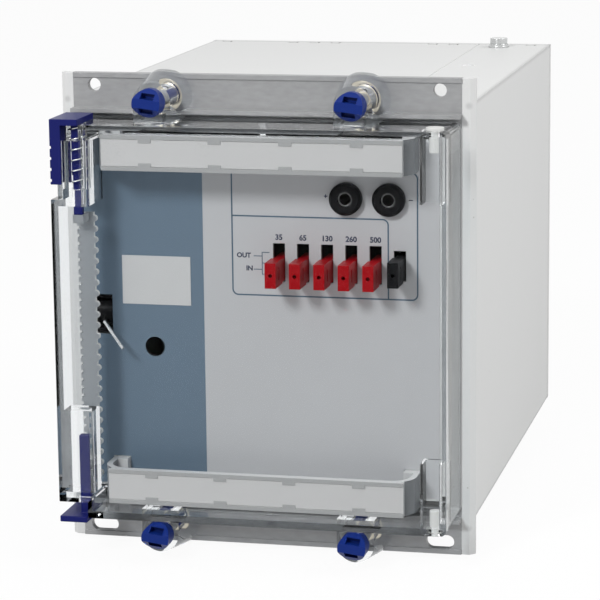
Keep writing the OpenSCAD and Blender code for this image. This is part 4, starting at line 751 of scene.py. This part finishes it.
# Places on the film are in millimetres, x before z.
FRAME_LEFT, FRAME_RIGHT, FRAME_TOP, FRAME_BOTTOM = -11.6, 57.5, 54.5, 8.0
CORNER = 2.1
DIVIDER_Z, DIVIDER_X = 37.4, 46.7
BRACKET = [((-3.6, 22.6), 0, [Run(3.2)]), ((-3.6, 17.65), 0, [Run(3.2)]),
           ((2.4, 24.0), 180, [Run(2.8)]), ((-0.4, 24.1), -90, [Run(8.4)]),
           ((2.4, 20.0), 180, [Run(2.8)]), ((2.4, 15.85), 180, [Run(2.8)])]
SLOT_NUMBERS = (("35", 6.0), ("65", 15.0), ("130", 24.0), ("260", 33.0), ("500", 42.0))
NUMBERS_Z = 29.7
SLOT_WORDS = [("OUT", -7.3, 22.7), ("IN", -5.2, 17.9)]
SOCKET_SIGNS = [("+", 23.6, 45.3), ("–", 55.1, 44.8)]


class OBJECT_OT_relay_print(RelayOperator, bpy.types.Operator):
    """Prints the frame lines, the numbers over the link slots and the plain marks"""
    bl_idname = "relay.build_print"
    bl_label = "Printed marks"

    def execute(self, context):
        wide = FRAME_RIGHT - FRAME_LEFT - 2 * CORNER
        tall = FRAME_TOP - FRAME_BOTTOM - 2 * CORNER
        corner = Turn(CORNER, 90)
        outline = [((FRAME_LEFT, FRAME_TOP - CORNER), 90,
                    [corner, Run(wide), corner, Run(tall), corner, Run(wide), corner, Run(tall)])]
        across = Run(DIVIDER_X - FRAME_LEFT - CORNER)
        down = Run(DIVIDER_Z - CORNER - FRAME_BOTTOM)
        divider = [((FRAME_LEFT, DIVIDER_Z), 0, [across, corner, down])]
        printed_lines("frame_lines", sizes().print_line, outline, "line_ink")
        printed_lines("divider_line", sizes().print_line, divider, "line_ink")
        printed_lines("bracket_lines", sizes().bracket_line, BRACKET, "line_ink")
        numbers = [(text, x, NUMBERS_Z) for text, x in SLOT_NUMBERS]
        printed_text("slot_numbers", numbers, sizes().number_height)
        printed_text("slot_words", SLOT_WORDS, sizes().word_height)
        printed_text("socket_signs", SOCKET_SIGNS, sizes().word_height)
        return {"FINISHED"}


TINY = 0.05 * MM
TAB_DEPTH = 0.6 * MM
STRIP_HALF_HEIGHT = 4.95 * MM


class OBJECT_OT_relay_handles(RelayOperator, bpy.types.Operator):
    """Finishes the two handles with their label strips and screws"""
    bl_idname = "relay.build_handles"
    bl_label = "Handles"

    def execute(self, context):
        low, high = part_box("label_strips")
        strip_half_width = (high.x - low.x) / 2
        front_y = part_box("upper_handle")[0].y
        for node in ("upper_handle", "lower_handle"):
            handle = softened(node, sizes().handle_edge)
            bottom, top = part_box(node)
            middle_z = (bottom.z + top.z) / 2
            # Both added finishes are painted shade: dark grey for the bent ends, darker grey for
            # the tabs.
            for finish in ("handle_end_shade", "handle_tab_shade"):
                handle.data.materials.append(grained_finish(finish))
            for face in handle.data.polygons:
                # Painted shade: faces past the ends of the label strip, on the handle's bent ends,
                # get a dark colour in place of the shade there.
                if abs(face.center.x) > strip_half_width + TINY:
                    face.material_index = 1
                # Painted shade: the front faces within the strip's height, the tabs, get a darker
                # grey for the shade in their notches.
                elif (face.center.y < front_y + TAB_DEPTH
                      and abs(face.center.z - middle_z) < STRIP_HALF_HEIGHT):
                    face.material_index = 2
        for node in ("label_strips", "handle_screws"):
            softened(node, sizes().small_edge)
        return {"FINISHED"}


class OBJECT_OT_relay_links(RelayOperator, bpy.types.Operator):
    """Finishes the link block, the plug links, the test link and the test sockets"""
    bl_idname = "relay.build_links"
    bl_label = "Links and sockets"

    def execute(self, context):
        for number in range(1, 6):
            softened(f"plug_link_{number}", sizes().link_edge)
        softened("test_link", sizes().link_edge)
        softened("test_sockets", sizes().small_edge)
        softened("socket_sleeves", sizes().small_edge, finish=grained_finish("dark_steel_and_slot_shade"))
        keep_node("link_block")
        return {"FINISHED"}


COVER_HALF_HEIGHT = 73.05 * MM
SIDE_WALL_X = 70.3 * MM
PANEL_DEPTH = 3.2 * MM
FLAT_NORMAL = 0.9
# The bosses and the flat faces reflect less, so that the studio lays no veil over the front.
BOSS_IOR, BOSS_ROUGHNESS = 1.08, 0.05


class OBJECT_OT_relay_cover(RelayOperator, bpy.types.Operator):
    """Finishes the clear cover, its sealing frame and the blanking plugs"""
    bl_idname = "relay.build_cover"
    bl_label = "Cover"

    def execute(self, context):
        shell = softened("cover_shell", sizes().cover_edge, segments=3)
        panel_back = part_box("cover_shell")[0].y + PANEL_DEPTH

        def reflects_less(face):
            in_boss = abs(face.center.z) > COVER_HALF_HEIGHT
            in_left_wall = face.center.x < -SIDE_WALL_X and abs(face.normal.x) > FLAT_NORMAL
            in_front_panel = face.center.y < panel_back and abs(face.normal.y) > FLAT_NORMAL
            return in_boss or in_left_wall or in_front_panel

        boss_finish = clear_finish("boss_moulding", BOSS_ROUGHNESS, colours().clear, BOSS_IOR)
        refinish(shell, boss_finish, reflects_less)
        keep_node("cover_gasket")
        softened("blanking_plugs", sizes().small_edge)
        return {"FINISHED"}


class OBJECT_OT_relay_knobs(RelayOperator, bpy.types.Operator):
    """Finishes the four quarter-turn knobs"""
    bl_idname = "relay.build_knobs"
    bl_label = "Knobs"

    def execute(self, context):
        for row in ("upper", "lower"):
            for side in ("left", "right"):
                softened(f"knob_{row}_{side}", sizes().knob_edge, segments=4)
        return {"FINISHED"}


RACK_EDGE = 0.1 * MM
BEAD_DEPTH = 1.5 * MM
FROSTED_ROUGHNESS, FROSTED_PASSING = 0.45, 0.5
SPRING_TURNS = 6
SPRING_STEPS = 28
WIRE_SIDES = 10
WIRE_SHARP_ANGLE = math.radians(60)


def return_spring():
    """The lever's coil spring, one round profile swept up the rod."""
    low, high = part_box("lever_spring")
    radius = sizes().wire / 2
    centre = Vector(((low.x + high.x) / 2, (low.y + high.y) / 2, 0.0))
    mean = (high.x - low.x) / 2 - radius
    rise = high.z - low.z - 2 * radius
    work = bmesh.new()
    place = Matrix.Translation((centre.x + mean, centre.y, low.z + radius)) @ UPRIGHT
    bmesh.ops.create_circle(work, cap_ends=True, segments=WIRE_SIDES, radius=radius, matrix=place)
    steps = SPRING_TURNS * SPRING_STEPS
    bmesh.ops.spin(work, geom=work.faces[:] + work.edges[:] + work.verts[:], cent=centre,
                   axis=(0.0, 0.0, 1.0), dvec=(0.0, 0.0, rise / steps),
                   angle=2 * math.pi * SPRING_TURNS, steps=steps, use_merge=False,
                   use_normal_flip=False, use_duplicate=False)
    close_and_face_out(work)
    smooth_but_sharp(work, WIRE_SHARP_ANGLE)
    piece = show(new_piece("lever_spring_finished", work), ("lever_spring",), body="cover")
    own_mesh(piece)


class OBJECT_OT_relay_levers(RelayOperator, bpy.types.Operator):
    """Finishes the reset levers, the clear rack and the return spring"""
    bl_idname = "relay.build_levers"
    bl_label = "Reset levers"

    def execute(self, context):
        for node in ("upper_reset_lever", "lower_reset_lever"):
            softened(node, sizes().lever_edge)
        rack_finish = clear_finish("frosted_moulding", FROSTED_ROUGHNESS, colours().frosted,
                                   passing=FROSTED_PASSING)
        rack = softened("reset_rack", RACK_EDGE, finish=rack_finish)
        beads_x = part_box("reset_rack")[1].x - BEAD_DEPTH
        refinish(rack, grained_finish("white_moulding"), lambda face: face.center.x > beads_x)
        return_spring()
        return {"FINISHED"}


SENSOR_WIDTH = 36.0
CAMERA_PLACE, CAMERA_ANGLES = (0.2333, -0.9515, 0.2003), (78.69, 0.605, 12.99)
LAMP_AIM = (0.0, 0.03, 0.0)
KEY_PLACE, KEY_SIZE = (-0.44, -1.17, 0.80), 0.35
FILL_PLACE, FILL_SIZE = (0.85, 0.0, 0.72), 0.5
TOP_PLACE, TOP_SIZE = (0.1, 0.25, 1.5), 1.0
FLOOR_HALF_SIZE, FLOOR_TONE, FLOOR_WHITE = 8.0, (0.55, 0.55, 0.55), 1.05


def add_lamp(name, place, size, power):
    light = bpy.data.lights.new(name, "AREA")
    light.shape = "DISK"
    light.size = size
    light.energy = power
    lamp = bpy.data.objects.new(name, light)
    lamp.location = place
    lamp.rotation_euler = (Vector(LAMP_AIM) - Vector(place)).to_track_quat("-Z", "Y").to_euler()
    bpy.context.scene.collection.objects.link(lamp)


def sees_background(tree):
    """1 for rays that show the white background: the camera's, off metal or through glass."""
    ray = wire(tree, "ShaderNodeLightPath")
    direct = wire(tree, "ShaderNodeMath",
                  {0: ray.outputs["Is Camera Ray"], 1: ray.outputs["Is Transmission Ray"]},
                  operation="MAXIMUM")
    seen = wire(tree, "ShaderNodeMath", {0: direct.outputs[0], 1: ray.outputs["Is Glossy Ray"]},
                operation="MAXIMUM")
    return seen.outputs[0]


def studio_world():
    """Even light for the object, and plain white where the camera, metal or glass sees past it."""
    world = bpy.data.worlds.new("studio_world")
    world.use_nodes = True
    tree = world.node_tree
    tree.nodes.clear()
    out = tree.nodes.new("ShaderNodeOutputWorld")
    soft = wire(tree, "ShaderNodeBackground", {"Color": WHITE, "Strength": studio().surround})
    plain = wire(tree, "ShaderNodeBackground", {"Color": WHITE, "Strength": 1.0})
    mix = wire(tree, "ShaderNodeMixShader",
               {0: sees_background(tree), 1: soft.outputs[0], 2: plain.outputs[0]})
    tree.links.new(mix.outputs[0], out.inputs["Surface"])
    bpy.context.scene.world = world


def studio_floor():
    """A large pale floor that glows a little to stay white and keeps the object's shadow."""
    work = bmesh.new()
    bmesh.ops.create_grid(work, x_segments=1, y_segments=1, size=FLOOR_HALF_SIZE,
                          matrix=Matrix.Translation((0.0, 0.0, CAD_BOX[0].z)))
    floor = new_piece("studio_floor", work)
    material, tree, out = new_material("studio_floor")
    part = wire(tree, "ShaderNodeMath", {0: sees_background(tree), 1: studio().floor_glow},
                operation="MULTIPLY")
    matt = wire(tree, "ShaderNodeBsdfDiffuse", {"Color": opaque(FLOOR_TONE)})
    glow = wire(tree, "ShaderNodeEmission", {"Color": WHITE, "Strength": FLOOR_WHITE})
    mix = wire(tree, "ShaderNodeMixShader",
               {0: part.outputs[0], 1: matt.outputs[0], 2: glow.outputs[0]})
    tree.links.new(mix.outputs[0], out.inputs["Surface"])
    floor.data.materials.append(material)


class OBJECT_OT_relay_studio(RelayOperator, bpy.types.Operator):
    """Sets the camera, the lamps, the world and the floor"""
    bl_idname = "relay.build_studio"
    bl_label = "Studio"

    def execute(self, context):
        scene = context.scene
        data = bpy.data.cameras.new("studio_camera")
        data.sensor_width = SENSOR_WIDTH
        data.lens = studio().lens
        camera = bpy.data.objects.new("studio_camera", data)
        camera.location = CAMERA_PLACE
        camera.rotation_euler = [math.radians(angle) for angle in CAMERA_ANGLES]
        scene.collection.objects.link(camera)
        scene.camera = camera
        add_lamp("key_lamp", KEY_PLACE, KEY_SIZE, studio().key_power)
        add_lamp("fill_lamp", FILL_PLACE, FILL_SIZE, studio().fill_power)
        add_lamp("top_lamp", TOP_PLACE, TOP_SIZE, studio().top_power)
        studio_world()
        studio_floor()
        scene.view_settings.view_transform = "Standard"
        return {"FINISHED"}


OPERATORS = (
    OBJECT_OT_relay_studio, OBJECT_OT_relay_case, OBJECT_OT_relay_terminals,
    OBJECT_OT_relay_chassis, OBJECT_OT_relay_front, OBJECT_OT_relay_print,
    OBJECT_OT_relay_handles, OBJECT_OT_relay_links, OBJECT_OT_relay_cover,
    OBJECT_OT_relay_knobs, OBJECT_OT_relay_levers,
)


class VIEW3D_PT_relay(bpy.types.Panel):
    """Lists the relay's builders, sizes and colours"""
    bl_label = "Protection relay"
    bl_space_type = "VIEW_3D"
    bl_region_type = "UI"
    bl_category = "Relay"

    def draw(self, context):
        column = self.layout.column(align=True)
        for operator in OPERATORS:
            column.operator(operator.bl_idname)
        scene = context.scene
        for group in (scene.relay_sizes, scene.relay_colours, scene.relay_studio):
            box = self.layout.box()
            for name in group.__annotations__:
                box.prop(group, name)


CLASSES = (RelaySizes, RelayColours, RelayStudio, *OPERATORS, VIEW3D_PT_relay)


def register():
    for item in CLASSES:
        bpy.utils.register_class(item)
    bpy.types.Scene.relay_sizes = PointerProperty(type=RelaySizes)
    bpy.types.Scene.relay_colours = PointerProperty(type=RelayColours)
    bpy.types.Scene.relay_studio = PointerProperty(type=RelayStudio)


def unregister():
    del bpy.types.Scene.relay_studio
    del bpy.types.Scene.relay_colours
    del bpy.types.Scene.relay_sizes
    for item in reversed(CLASSES):
        bpy.utils.unregister_class(item)


def main():
    register()
    bpy.ops.relay.build_studio()
    bpy.ops.relay.build_case()
    bpy.ops.relay.build_terminals()
    bpy.ops.relay.build_chassis()
    bpy.ops.relay.build_front()
    bpy.ops.relay.build_print()
    bpy.ops.relay.build_handles()
    bpy.ops.relay.build_links()
    bpy.ops.relay.build_cover()
    bpy.ops.relay.build_knobs()
    bpy.ops.relay.build_levers()
    bpy.context.view_layer.update()


if __name__ == "__main__":
    main()
